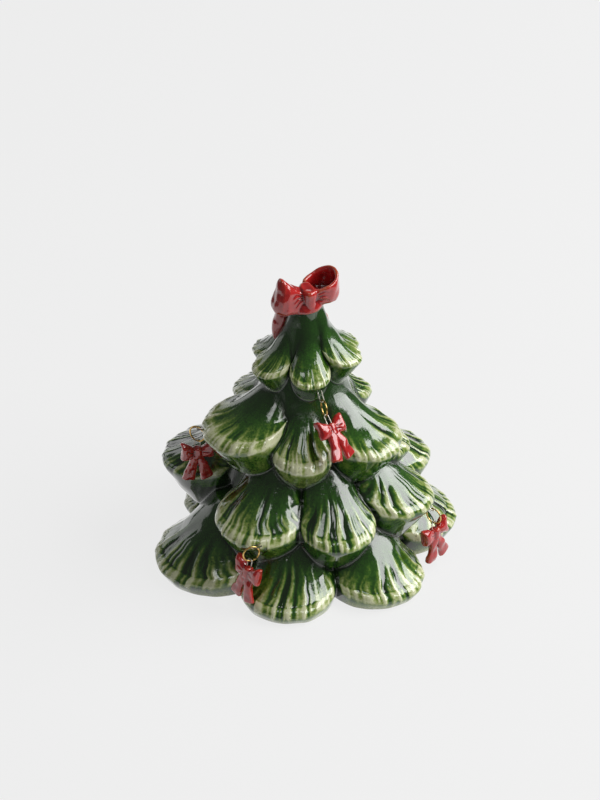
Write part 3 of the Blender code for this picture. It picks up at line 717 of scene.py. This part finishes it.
# %% [markdown]
# ## The casting in five rings
# One mesh of nearly a million triangles is unwieldy, so the same surface is kept as five rings, cut
# along level lines. Each ring keeps the normals of the whole surface, so that no seam shows. The
# top ring is closed by a cap under the bow.

# %% Ring meshes
RING_NAMES = ("boughs_foot", "boughs_lower", "boughs_middle", "boughs_upper", "boughs_top")
# How far the glaze has run thin, 0 deep pool and 1 bare, plus painted shade on undersides and
# creases
COAT_AT_TOP, COAT_DOWN_BOUGH, COAT_AT_RIM, COAT_AT_FOOT = 0.13, 0.15, 0.36, 0.45
SHADE_UNDERNEATH, POOL_AND_SHADE_IN_CREASES = 0.52, 0.25
RIM_ONLY_SHARE = 0.52

sheet = points_of(cast).reshape(ROWS + 1, COLUMNS, 3)
sheet_normals = normals_of(cast).reshape(ROWS + 1, COLUMNS, 3)
drifted = reach + 0.08 * np.sin(2.3 * fan + 1) + 0.07 * np.sin(5.7 * fan)
coat_and_shade = COAT_AT_TOP + COAT_DOWN_BOUGH * smooth_step(0.35, 0.9, drifted)
coat_and_shade += COAT_AT_RIM * smooth_step(0.80, 1.25, drifted)
coat_and_shade += pale * smooth_step(0.5, 1.15, reach)
# Painted shade: the undersides of the boughs are made darker.
coat_and_shade -= SHADE_UNDERNEATH * smooth_step(1.75, 2.3, reach)
# Painted shade with pooled glaze: the creases between the boughs are made darker.
coat_and_shade -= POOL_AND_SHADE_IN_CREASES * crease * smooth_step(0.15, 0.5, reach)
coat_and_shade += COAT_AT_FOOT * (1 - smooth_step(1, 6, heights))[None, :] * (1 - crease)
thin *= 1 - RIM_ONLY_SHARE * (1 - smooth_step(0.6, 1.1, reach))
pool = smooth_step(0.3, 0.9, pool)
run = np.stack((fan * 9, reach * 1.4, 0 * fan), -1)
layers = {"coat_and_shade": coat_and_shade, "thin": thin, "pool": pool}
cuts = np.linspace(0, ROWS, len(RING_NAMES) + 1).astype(int)
boughs = []
for name, low, high in zip(RING_NAMES, cuts, cuts[1:]):
    rows = high - low + 1
    mesh, ring_quads = tube_mesh(cast_radius[:, low : high + 1], heights[low : high + 1])
    set_points(mesh, sheet[low : high + 1])
    if name == RING_NAMES[-1]:
        shape = bmesh.new()
        shape.from_mesh(mesh)
        shape.verts.ensure_lookup_table()
        rim = [shape.verts[(rows - 1) * COLUMNS + i] for i in range(COLUMNS)]
        cap = shape.faces.new(rim)
        bmesh.ops.poke(shape, faces=[cap])
        shape.to_mesh(mesh)
        shape.free()
    mesh.shade_smooth()
    extra = len(mesh.vertices) - rows * COLUMNS
    for layer, values in layers.items():
        part = values[:, low : high + 1].T.ravel()
        store(mesh, layer, np.concatenate((part, np.zeros(extra))))
    part = run[:, low : high + 1].transpose(1, 0, 2).reshape(-1, 3)
    store(mesh, "run", np.concatenate((part, np.zeros((extra, 3)))), "FLOAT_VECTOR")
    part = sheet_normals[low : high + 1].reshape(-1, 3)
    ups = np.tile((0.0, 0.0, 1.0), (extra, 1))
    mesh.normals_split_custom_set_from_vertices(np.concatenate((part, ups)).tolist())
    mesh.materials.append(green)
    ring = add_piece(name, mesh)
    boughs.append(ring)
    print(name, "triangles:", 2 * len(ring_quads))
bpy.data.meshes.remove(cast)
for ring in boughs:
    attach(ring, "tree")
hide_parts("tree_body")
for ring in boughs[1:]:
    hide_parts("tree_body")

# %% [markdown]
# ## Foot
# Glaze would stick to the kiln shelf, so the foot is wiped bare: a ring of chalky bisque ware to
# stand on, a slightly raised middle, and the vent hole that every hollow casting needs. It is
# turned in rings from the casting's own outline at the table.

# %% Bisque foot
FOOT_RECESS_RADIUS, FOOT_RECESS = 45.3, 1.5
VENT_RADIUS, BASE_THICKNESS = 4.5, 6.0


def bisque():
    material, tree, shader = new_material("bisque")
    place = node(tree, "ShaderNodeTexCoord").outputs["Object"]
    grain = node(tree, "ShaderNodeTexNoise", {"Vector": place, "Scale": 900.0, "Detail": 6.0})
    cloud = node(tree, "ShaderNodeTexNoise", {"Vector": place, "Scale": 60.0, "Detail": 3.0})
    both = sums(tree, "MULTIPLY_ADD", grain.outputs["Fac"], 0.4, cloud.outputs["Fac"])
    colour = ramp(tree, both, ((0.4, paint(196, 188, 172)), (0.9, paint(228, 222, 208))))
    tree.links.new(colour, shader.inputs["Base Color"])
    shader.inputs["Roughness"].default_value = 0.85
    bump = node(tree, "ShaderNodeBump", {
        "Height": grain.outputs["Fac"], "Strength": 0.5, "Distance": 0.0002})
    tree.links.new(bump.outputs["Normal"], shader.inputs["Normal"])
    return material


def foot_mesh(outline):
    """Rings from the outline at the table in to the vent, and up inside it."""
    flat = np.array(outline, float)
    unit = flat / np.linalg.norm(flat, axis=1)[:, None]
    edge = 0.5
    rings = [(flat, 0.0), (unit * (FOOT_RECESS_RADIUS + edge) * MM, 0.0)]
    rings.append((unit * FOOT_RECESS_RADIUS * MM, edge * MM))
    rings.append((unit * FOOT_RECESS_RADIUS * MM, FOOT_RECESS * MM))
    rings.append((unit * (VENT_RADIUS + edge) * MM, FOOT_RECESS * MM))
    rings.append((unit * VENT_RADIUS * MM, (FOOT_RECESS + edge) * MM))
    rings.append((unit * VENT_RADIUS * MM, BASE_THICKNESS * MM))
    count = len(flat)
    points = [(x, y, z) for ring, z in rings for x, y in ring]
    faces = []
    for k in range(len(rings) - 1):
        for i in range(count):
            j = (i + 1) % count
            faces.append((k * count + i, (k + 1) * count + i, (k + 1) * count + j, k * count + j))
    faces.append([(len(rings) - 1) * count + i for i in range(count)][::-1])
    mesh = bpy.data.meshes.new("foot")
    mesh.from_pydata(points, [], faces)
    return mesh


foot = add_piece("bisque_foot", foot_mesh(sheet[0, ::3, :2]))
foot.data.materials.append(bisque())
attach(foot, "tree")
print("foot faces:", len(foot.data.polygons))

# %% [markdown]
# ## Red glaze
# The bows are dipped in a red glaze that is bright where it covers, dark in the folds, and turns
# orange brown where it runs thin over an edge. It uses the same breaking glaze group.

# %% Red glaze material
RED_STOPS = (
    (0.00, paint(112, 14, 16)), (0.30, paint(162, 26, 28)), (0.60, paint(186, 38, 36)),
    (0.88, paint(190, 52, 42)), (1.00, paint(184, 86, 50)),
)
RED_BREAK, RED_COAT = 0.56, 0.46


def red_glaze():
    material, tree, shader = new_material("red_glaze")
    place = node(tree, "ShaderNodeTexCoord").outputs["Object"]
    thin = attribute(tree, "thin")
    start = sums(tree, "MULTIPLY_ADD", thin, RED_BREAK, RED_COAT)
    glaze = node(tree, "ShaderNodeGroup", {
        "Vector": place, "Run": place, "Thin": start, "Pooled": 0.04,
        "Mottle scale": 190.0, "Mottle": 0.30, "Streaks": 0.0, "Speckle scale": 1500.0},
        node_tree=breaking_glaze)
    colour = ramp(tree, glaze.outputs["Break"], RED_STOPS)
    tree.links.new(colour, shader.inputs["Base Color"])
    gloss(tree, shader, glaze, 0.10, 0.25, 0.3 * MM)
    return material


red = red_glaze()
print("red glaze colours:", len(RED_STOPS))

# %% [markdown]
# ## Clay bows
# Both kinds of bow are two loops, a band pinched round the middle and two tails. A loop is either a
# strip of clay that stands on edge or a closed, puffed lump. Each part is lofted through rounded
# sections, the parts are joined and remeshed as one lump, and smoothing rounds them as a coat of
# glaze does. Sizes are in millimetres.

# %% Lofts and ribbon loops
def rounded_section(width, height, count, power=2.6):
    """Points round a rounded rectangle, as (across, up) pairs."""
    angle = 2 * np.pi * (np.arange(count) + 0.5) / count
    c, s = np.cos(angle), np.sin(angle)
    across = np.sign(c) * np.abs(c) ** (2 / power) * width / 2
    up = np.sign(s) * np.abs(s) ** (2 / power) * height / 2
    return np.stack((across, up), -1)


def loft(sections):
    """Points and faces of a closed solid through rings of equally many points."""
    sections = np.array(sections, float)
    rings, count = sections.shape[:2]
    faces = []
    for k in range(rings - 1):
        for i in range(count):
            j = (i + 1) % count
            faces.append((k * count + i, k * count + j, (k + 1) * count + j, (k + 1) * count + i))
    faces.append(list(range(count))[::-1])
    faces.append([(rings - 1) * count + i for i in range(count)])
    return sections.reshape(-1, 3), faces


Loop = namedtuple("Loop", "side half deep low_tall tall ribbon rise tilt pinch spread")


def ribbon_loop(loop, steps=46):
    """A strip standing on edge at height 0: out along the front, back along the rear."""
    sections = []
    half, deep = loop.half - loop.ribbon / 2, loop.deep - loop.ribbon / 2
    turns = np.linspace(-np.pi, np.pi, steps)
    share = 0.08 + 0.92 * (0.5 + 0.5 * np.cos(turns)) ** 0.72
    back = np.sin(turns * 5 / 6)
    tall = loop.low_tall + (loop.tall - loop.low_tall) * share ** 1.5
    lift = (loop.rise + loop.tilt * (1 + back)) * np.clip(2 * share - 1, 0, None)
    path = np.stack((loop.side * half * share, deep * back), -1)
    ahead = np.gradient(path, axis=0)
    ahead /= np.linalg.norm(ahead, axis=1)[:, None]
    for i in range(steps):
        across = np.array((-ahead[i, 1], ahead[i, 0]))
        ring = []
        for x, z in rounded_section(loop.ribbon, tall[i], 20, 3.2):
            level = z / (0.5 * tall[i])
            spot = path[i] + across * x
            spot = spot * (1 - loop.spread * level, 1 - loop.pinch * level)
            ring.append((spot[0], spot[1], lift[i] + tall[i] / 2 + z))
        sections.append(ring)
    return loft(sections)


def upright_band(sizes, power=2.8):
    """A pinched band through (height, width, depth, lean) sections."""
    sections = []
    for height, width, depth, lean in sizes:
        ring = [(x + lean, y, height) for x, y in rounded_section(width, depth, 24, power)]
        sections.append(ring)
    return loft(sections)


def clay(name, parts, voxel, smoothing):
    """One rounded lump from several closed parts, in metres."""
    points, faces, start = [], [], 0
    for part_points, part_faces in parts:
        points.append(part_points)
        faces += [[start + i for i in face] for face in part_faces]
        start += len(part_points)
    mesh = bpy.data.meshes.new(name)
    mesh.from_pydata((np.concatenate(points) * MM).tolist(), [], faces)
    shape = bmesh.new()
    shape.from_mesh(mesh)
    bmesh.ops.recalc_face_normals(shape, faces=shape.faces)
    shape.to_mesh(mesh)
    shape.free()
    thing = add_piece(name, mesh)
    remesh = thing.modifiers.new("lump", "REMESH")
    remesh.mode = "VOXEL"
    remesh.voxel_size = voxel * MM
    soften = thing.modifiers.new("soften", "SMOOTH")
    soften.factor = 0.5
    soften.iterations = smoothing
    result = evaluated_mesh(thing, name)
    bpy.data.objects.remove(thing)
    return result


def edge_thinness(mesh, rounds, full):
    """How far each point stands proud of its smoothed surroundings: full of that is 1."""
    edges = np.empty(len(mesh.edges) * 2, np.int32)
    mesh.edges.foreach_get("vertices", edges)
    a, b = edges.reshape(-1, 2).T
    points = points_of(mesh)
    count = np.bincount(a, minlength=len(points)) + np.bincount(b, minlength=len(points))
    smoothed = points.copy()
    for _ in range(rounds):
        total = np.empty_like(smoothed)
        for axis in range(3):
            total[:, axis] = np.bincount(a, smoothed[b, axis], len(points))
            total[:, axis] += np.bincount(b, smoothed[a, axis], len(points))
        smoothed = 0.5 * smoothed + 0.5 * total / count[:, None]
    proud = ((points - smoothed) * normals_of(mesh)).sum(1)
    return np.clip(proud / (full * MM), -1, 1)


def waves(points, seed, longest, shortest, count=18):
    """Soft random waves over space, about -1 to 1, with wavelengths in millimetres."""
    random = np.random.default_rng(seed)
    value = np.zeros(len(points))
    for _ in range(count):
        wave = random.normal(0, 1, 3)
        length = math.exp(random.uniform(math.log(shortest), math.log(longest)))
        wave *= 2 * np.pi / (np.linalg.norm(wave) * length * MM)
        value += np.sin(points @ wave + random.uniform(0, 6.28))
    return value / math.sqrt(count / 2)


def wear(mesh, material):
    mesh.shade_smooth()
    mesh.materials.clear()
    mesh.materials.append(material)


def press_folds(mesh, middle, knot_half, reach, angles, depth, seed):
    """Creases that run out from the knot across the front of both loops."""
    points = points_of(mesh)
    normals = normals_of(mesh)
    local = points / MM - middle
    out = np.abs(local[:, 0])
    angle = np.arctan2(local[:, 2], out)
    fade = smooth_step(knot_half * 0.8, knot_half * 1.3, out)
    fade *= 1 - smooth_step(0.4 * reach, reach, out)
    fade *= smooth_step(0.1, 0.6, -normals[:, 1]) * smooth_step(-1, 1, -local[:, 1])
    press = np.zeros(len(points))
    for number, fold in enumerate(angles):
        shift = 0.08 * np.sin(local[:, 0] + number + seed)
        press += np.exp(-(((angle - fold + shift) / 0.10) ** 2))
    moved = -depth * MM * press * fade + 0.12 * MM * waves(points, seed, 14, 4)
    set_points(mesh, points + normals * moved[:, None])


print("clay helpers ready")

# %% [markdown]
# ## Top bow
# It stands on the cone's flat top, turned a little so that its right loop swings back and shows the
# opening between the strip's two walls. The left loop is closed, rises to a corner at its end and
# bulges at the bottom. A pad of glaze joins the bow to the cone, and both tails drop behind.

# %% Top bow
BOW_HALF, BOW_YAW = 18.5, math.radians(21)
KNOT_HEIGHT = 11.4
KNOT_FORWARD = 3.4
PAD_SLOPE = 0.16
BOW_VOXEL = 0.42
bow_level = TREE_TOP + 0.3


def bow_tail(azimuth, stations):
    """A tail down the cone through (height, radius, width, thickness) stations, in millimetres."""
    angle = math.radians(azimuth)
    out = np.array((math.sin(angle), -math.cos(angle), 0))
    side = np.array((math.cos(angle), math.sin(angle), 0))
    path = np.array([(radius, z) for z, radius, _, _ in stations])
    ahead = np.gradient(path, axis=0)
    ahead /= np.linalg.norm(ahead, axis=1)[:, None]
    sections = []
    for (radius, z), (run_out, run_up), (_, _, width, thick) in zip(path, ahead, stations):
        normal = out * -run_up + np.array((0, 0, run_out))
        centre = out * radius + np.array((0, 0, z))
        corners = rounded_section(width, thick, 20, 2.6)
        sections.append([centre + side * x + normal * y for x, y in corners])
    return loft(sections)


def turn_about_axis(points, angle):
    c, s = math.cos(angle), math.sin(angle)
    return points @ np.array(((c, s, 0), (-s, c, 0), (0, 0, 1)))


def upright(part, middle=(0, 0, 0)):
    points, faces = part
    return turn_about_axis(points + middle, BOW_YAW) + (0, 0, bow_level), faces


def puffed_loop(stations, pinch, spread):
    """A closed, puffed loop through (out, front, back, low, high) sections."""
    sections = []
    for out, front, back, low, high in stations:
        ring = []
        for across, level in rounded_section(2, 2, 24, 3.4):
            depth = (front + back) / 2 + (back - front) / 2 * across * (1 - pinch * (1 + level))
            depth -= (back - front) / 2 * pinch * (1 + level) * 0.5
            ring.append((out * (1 - spread * level), depth, low + (high - low) * (level + 1) / 2))
        sections.append(ring)
    return loft(sections)


left_loop = puffed_loop([
    (-0.5, -7.0, 4.0, -3.2, 7.0), (-4.0, -7.4, 5.0, -3.6, 8.2), (-8.0, -8.2, 5.6, -4.0, 10.6),
    (-11.0, -8.6, 5.6, -4.0, 13.4), (-13.6, -8.0, 5.0, -3.6, 15.8), (-15.2, -6.2, 3.6, -2.6, 16.4),
    (-16.1, -3.6, 1.8, -0.4, 14.6)], 0.22, 0.10)
right_loop = Loop(1, BOW_HALF - 1.3, 8.6, 8.0, 13.6, 2.5, -1.4, 1.3, -0.04, 0)
knot = upright_band([
    (-3.0, 5.2, 10.0, 0), (-1.6, 5.6, 11.4, 0), (2.0, 5.8, 12.0, 0), (5.4, 6.4, 12.4, 0),
    (7.6, 6.8, 12.2, 0), (8.8, 5.6, 10.4, 0)])
pad = upright_band([(-2.9, 17.4, 17.4, 0), (-2.4, 18.8, 18.8, 0), (-0.6, 18.6, 18.6, 0),
                    (1.6, 17.0, 17.0, 0), (2.8, 12.0, 12.0, 0)], 2.0)
pad[0][:, 2] += PAD_SLOPE * pad[0][:, 0]
right_fill = upright_band([(-0.6, 14, 14.4, 8.6), (1.0, 14, 14.4, 8.6), (1.8, 13, 13, 8.6)], 3.2)
parts = [upright(left_loop), upright(ribbon_loop(right_loop)), upright(knot, (0, -KNOT_FORWARD, 0))]
parts += [upright(pad), upright(right_fill)]
parts.append(bow_tail(-100, [
    (146.4, 4.0, 4.0, 3.0), (143.4, 8.6, 5.6, 4.4), (139.5, 10.2, 6.8, 5.6), (134, 11.4, 8.2, 6.6),
    (129, 12.4, 9.0, 7.0), (125, 13.2, 8.6, 6.4), (121, 13.8, 6.6, 5.0), (118.4, 14.0, 4.0, 3.0)]))
parts.append(bow_tail(152, [
    (146.4, 4.0, 4.0, 2.4), (143.4, 9.0, 4.0, 2.4), (138, 10.2, 4.2, 2.6), (133, 11.4, 4.8, 2.6),
    (128, 13.6, 6.2, 2.8), (124, 16.2, 7.8, 3.4), (121, 17.8, 7.4, 3.4), (119, 18.2, 5.0, 2.6)]))
bow_mesh = clay("top_bow_clay", parts, BOW_VOXEL, 6)
set_points(bow_mesh, turn_about_axis(points_of(bow_mesh), -BOW_YAW))
folds_middle = (0, 0, bow_level + 0.5 * KNOT_HEIGHT)
press_folds(bow_mesh, folds_middle, 3.2, 12, (-0.42, -0.1, 0.22), 0.34, 3)
set_points(bow_mesh, turn_about_axis(points_of(bow_mesh), BOW_YAW))
store(bow_mesh, "thin", edge_thinness(bow_mesh, 10, 0.16))
wear(bow_mesh, red)
top_bow = add_piece("top_bow_glazed", bow_mesh)
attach(top_bow, "tree")
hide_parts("top_bow")
print("top bow faces:", len(bow_mesh.polygons))

# %% [markdown]
# ## Hanging bows
# Seven small bows hang from the rims. The CAD model's joints say where: a jump ring swings about
# the wire set in the bough, and its bow swings about the lowest point of the ring. From those two
# points each chain gets its own frame.

# %% Where each chain hangs
WIRE, RING_WIRE, RING_DIAMETER = 0.6, 0.8, 9.0
WIRE_STEP = WIRE / 2 + 0.2 + RING_WIRE / 2
BOW_AZIMUTHS = (38, 14, -48, 48, 182, 176, 290)
BOW_SWINGS = (-12, 0, 4, -8, 6, 0, 0)
Chain = namedtuple("Chain", "number ring bow")


def frame_matrix(origin, x, y, z):
    return Matrix.Translation(origin) @ Matrix((x, y, z)).transposed().to_4x4()


chains = []
joints = {joint["name"]: joint for joint in frame["joints"]}
for number, (azimuth, swing) in enumerate(zip(BOW_AZIMUTHS, BOW_SWINGS), 1):
    hook = Vector(joints[f"ring_swing_{number}"]["pos_m"])
    low = Vector(joints[f"charm_swing_{number}"]["pos_m"])
    along = Vector(joints[f"ring_swing_{number}"]["axis"]).normalized()
    up = (hook - low).normalized()
    ring_frame = frame_matrix(hook, along, up.cross(along), up)
    facing = around(azimuth, 0, 1)
    facing = (facing - up * facing.dot(up)).normalized()
    side = facing.cross(up).normalized()
    bow_frame = frame_matrix(low, -side, -facing, up) @ Matrix.Rotation(math.radians(swing), 4, "Y")
    chains.append(Chain(number, ring_frame, bow_frame))
print("chains:", len(chains))

# %% Hanging bow clay
CHARM_HALF, CHARM_KNOT, CHARM_LOOP, CHARM_THICK = 8.9, 6.2, 9.8, 5.2
TAIL_LENGTH, TAIL_WIDTH, TAIL_THICK = 14.3, 6.4, 3.8
CHARM_VOXEL = 0.28
EYELET_WIDTH, EYELET_RISE, EYELET_SET = 3.4, 4.6, 2.2
charm_middle = -(EYELET_RISE - WIRE_STEP) - CHARM_KNOT / 2


def charm_loop(side):
    """A puffed loop: flat and narrow at the knot, full and square at its end."""
    sections = []
    for share, tall, thick, rise in (
        (0.04, 0.42, 0.60, 0.00), (0.22, 0.52, 0.72, 0.02), (0.45, 0.74, 0.94, 0.06),
        (0.70, 0.94, 1.04, 0.11), (0.88, 1.00, 0.94, 0.14), (0.96, 0.96, 0.74, 0.14),
        (1.00, 0.84, 0.46, 0.13),
    ):
        ring = []
        for y, z in rounded_section(CHARM_THICK * thick, CHARM_LOOP * tall, 24, 2.9):
            hollow = 0.10 * CHARM_LOOP * share * (1 - (2 * z / CHARM_LOOP) ** 2)
            x = side * (CHARM_HALF * share - hollow * share ** 6)
            ring.append((x, y, charm_middle + rise * CHARM_LOOP + z))
        sections.append(ring)
    return loft(sections)


def charm_tail(side):
    sections = []
    top = charm_middle - 0.2 * CHARM_KNOT
    for share in np.linspace(0, 1, 9):
        width = TAIL_WIDTH * (0.55 + 0.45 * share ** 0.8)
        out = side * CHARM_HALF * (0.12 + 0.42 * share)
        ring = []
        for x, y in rounded_section(width, TAIL_THICK - 0.6 * share, 20, 3.0):
            slant = 0.32 * side * x * smooth_step(0.5, 1, share)
            curl = -0.45 * math.sin(math.pi * share)
            ring.append((out + x, y + curl, top - TAIL_LENGTH * share + slant))
        sections.append(ring)
    return loft(sections)


def charm_parts():
    knot = upright_band([
        (-3.0, 3.0, 3.4, 0), (-2.4, 3.9, 4.8, 0), (0, 4.0, 5.3, 0), (2.4, 3.9, 4.8, 0),
        (3.0, 3.0, 3.4, 0)])
    knot = (knot[0] + (0, 0, charm_middle), knot[1])
    return [charm_loop(-1), charm_loop(1), knot, charm_tail(-1), charm_tail(1)]


charm_clay = clay("charm_clay", charm_parts(), CHARM_VOXEL, 5)
press_folds(charm_clay, (0, 0, charm_middle), 2.0, 7.5, (-0.35, 0.25), 0.30, 8)
for chain in chains:
    mesh = charm_clay.copy()
    mesh.name = f"hanging_bow_{chain.number}"
    points = points_of(mesh)
    moved = 0.16 * MM * waves(points, 50 + chain.number, 11, 4)
    points += normals_of(mesh) * moved[:, None]
    set_points(mesh, points)
    store(mesh, "thin", edge_thinness(mesh, 8, 0.10))
    mesh.transform(chain.bow)
    wear(mesh, red)
    bow = add_piece(f"hanging_bow_{chain.number}", mesh)
    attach(bow, f"charm_{chain.number}")
    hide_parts(f"charm_bow_{chain.number}")
print("faces of one hanging bow:", len(charm_clay.polygons))

# %% [markdown]
# ## Wire
# Every bow hangs on bent craft wire: a gilt jump ring, and small hairpins set in the clay. The
# wires are one idea, a round section swept along a bent line, so one node tree sweeps them all.
# The metal is slightly uneven, as soft wire is after it has been through pliers.

# %% Wire materials
def wire_metal(name, bright, dull, roughness):
    material, tree, shader = new_material(name)
    place = node(tree, "ShaderNodeTexCoord").outputs["Object"]
    tarnish = node(tree, "ShaderNodeTexNoise", {"Vector": place, "Scale": 500.0, "Detail": 4.0})
    colour = ramp(tree, tarnish.outputs["Fac"], ((0.35, dull), (0.6, bright)))
    tree.links.new(colour, shader.inputs["Base Color"])
    scuffs = node(tree, "ShaderNodeMapRange", {
        "Value": tarnish.outputs["Fac"], "To Min": roughness - 0.08, "To Max": roughness + 0.12})
    tree.links.new(scuffs.outputs["Result"], shader.inputs["Roughness"])
    shader.inputs["Metallic"].default_value = 1.0
    return material


gold = wire_metal("gold_wire", paint(236, 202, 128), paint(176, 138, 66), 0.24)
silver = wire_metal("silver_wire", paint(206, 202, 190), paint(122, 118, 106), 0.26)

# %% Sweep the wires
def sweep_nodes():
    group = bpy.data.node_groups.new("swept wire", "GeometryNodeTree")
    sockets(group, "INPUT", "Geometry", "Geometry")
    radius, = sockets(group, "INPUT", "Float", "Wire radius")
    sides, = sockets(group, "INPUT", "Int", "Sides")
    metal, = sockets(group, "INPUT", "Material", "Material")
    sockets(group, "OUTPUT", "Geometry", "Geometry")
    given = node(group, "NodeGroupInput").outputs
    section = node(group, "GeometryNodeCurvePrimitiveCircle", {
        "Resolution": given["Sides"], "Radius": given["Wire radius"]})
    line = node(group, "GeometryNodeMeshToCurve", {"Mesh": given["Geometry"]})
    swept = node(group, "GeometryNodeCurveToMesh", {
        "Curve": line.outputs[0], "Profile Curve": section.outputs[0], "Fill Caps": True})
    smooth = node(group, "GeometryNodeSetShadeSmooth", {"Geometry": swept.outputs[0]})
    plain = node(group, "GeometryNodeRealizeInstances", {"Geometry": smooth.outputs[0]})
    dressed = node(group, "GeometryNodeSetMaterial", {
        "Geometry": plain.outputs[0], "Material": given["Material"]})
    result = node(group, "NodeGroupOutput")
    group.links.new(dressed.outputs[0], result.inputs[0])
    return group, (radius.identifier, sides.identifier, metal.identifier)


sweep, (radius_input, sides_input, metal_input) = sweep_nodes()


def swept_wire(name, points, diameter, metal):
    """A round wire along points given in metres, as a plain mesh object."""
    line = bpy.data.meshes.new(name)
    edges = [(i, i + 1) for i in range(len(points) - 1)]
    line.from_pydata([tuple(point) for point in points], edges, [])
    thing = add_piece(name, line)
    modifier = thing.modifiers.new("sweep", "NODES")
    modifier.node_group = sweep
    modifier[radius_input] = diameter * MM / 2
    modifier[sides_input] = 12
    modifier[metal_input] = metal
    mesh = evaluated_mesh(thing, name)
    bpy.data.objects.remove(thing)
    return add_piece(name, mesh)


RING_CUT = math.radians(4)
for chain in chains:
    centreline = (RING_DIAMETER - RING_WIRE) / 2
    turns = np.linspace(RING_CUT, 2 * np.pi - RING_CUT, 72) + 0.9 + chain.number
    points = []
    for turn in turns:
        y, z = centreline * math.cos(turn), WIRE_STEP - centreline + centreline * math.sin(turn)
        spring = 0.06 * (turn - turns[0] - math.pi) / math.pi
        points.append(chain.ring @ (Vector((spring, y, z)) * MM))
    ring = swept_wire(f"gilt_ring_{chain.number}", points, RING_WIRE, gold)
    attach(ring, f"ring_{chain.number}")
    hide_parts(f"jump_ring_{chain.number}")
    half = (EYELET_WIDTH - WIRE) / 2
    points = [(-half, -EYELET_RISE - EYELET_SET), (-half, -EYELET_RISE * 0.5)]
    bend = np.linspace(0, math.pi, 17)
    points += [(-half * math.cos(t), -half + half * math.sin(t)) for t in bend]
    points += [(half, -EYELET_RISE * 0.5), (half, -EYELET_RISE - EYELET_SET)]
    points = [chain.bow @ (Vector((x, 0, WIRE_STEP + z)) * MM) for x, z in points]
    hairpin = swept_wire(f"bow_hairpin_{chain.number}", points, WIRE, silver)
    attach(hairpin, f"charm_{chain.number}")
    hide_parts(f"charm_eyelet_{chain.number}")
    eyelet = frame["nodes"][f"bough_eyelet_{chain.number}"]
    eyelet.data.materials.clear()
    eyelet.data.materials.append(silver)
print("wires swept:", 2 * len(chains))

# %% [markdown]
# ## Size and finish
# The dressed model must be as big as the CAD model, so both boxes are written down side by side.

# %% Size and finish
boxes = {"cad": cad_box, "dressed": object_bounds()}
for name, (low, high) in boxes.items():
    print(name, "size in mm:", [round(1000 * (b - a), 1) for a, b in zip(low, high)])
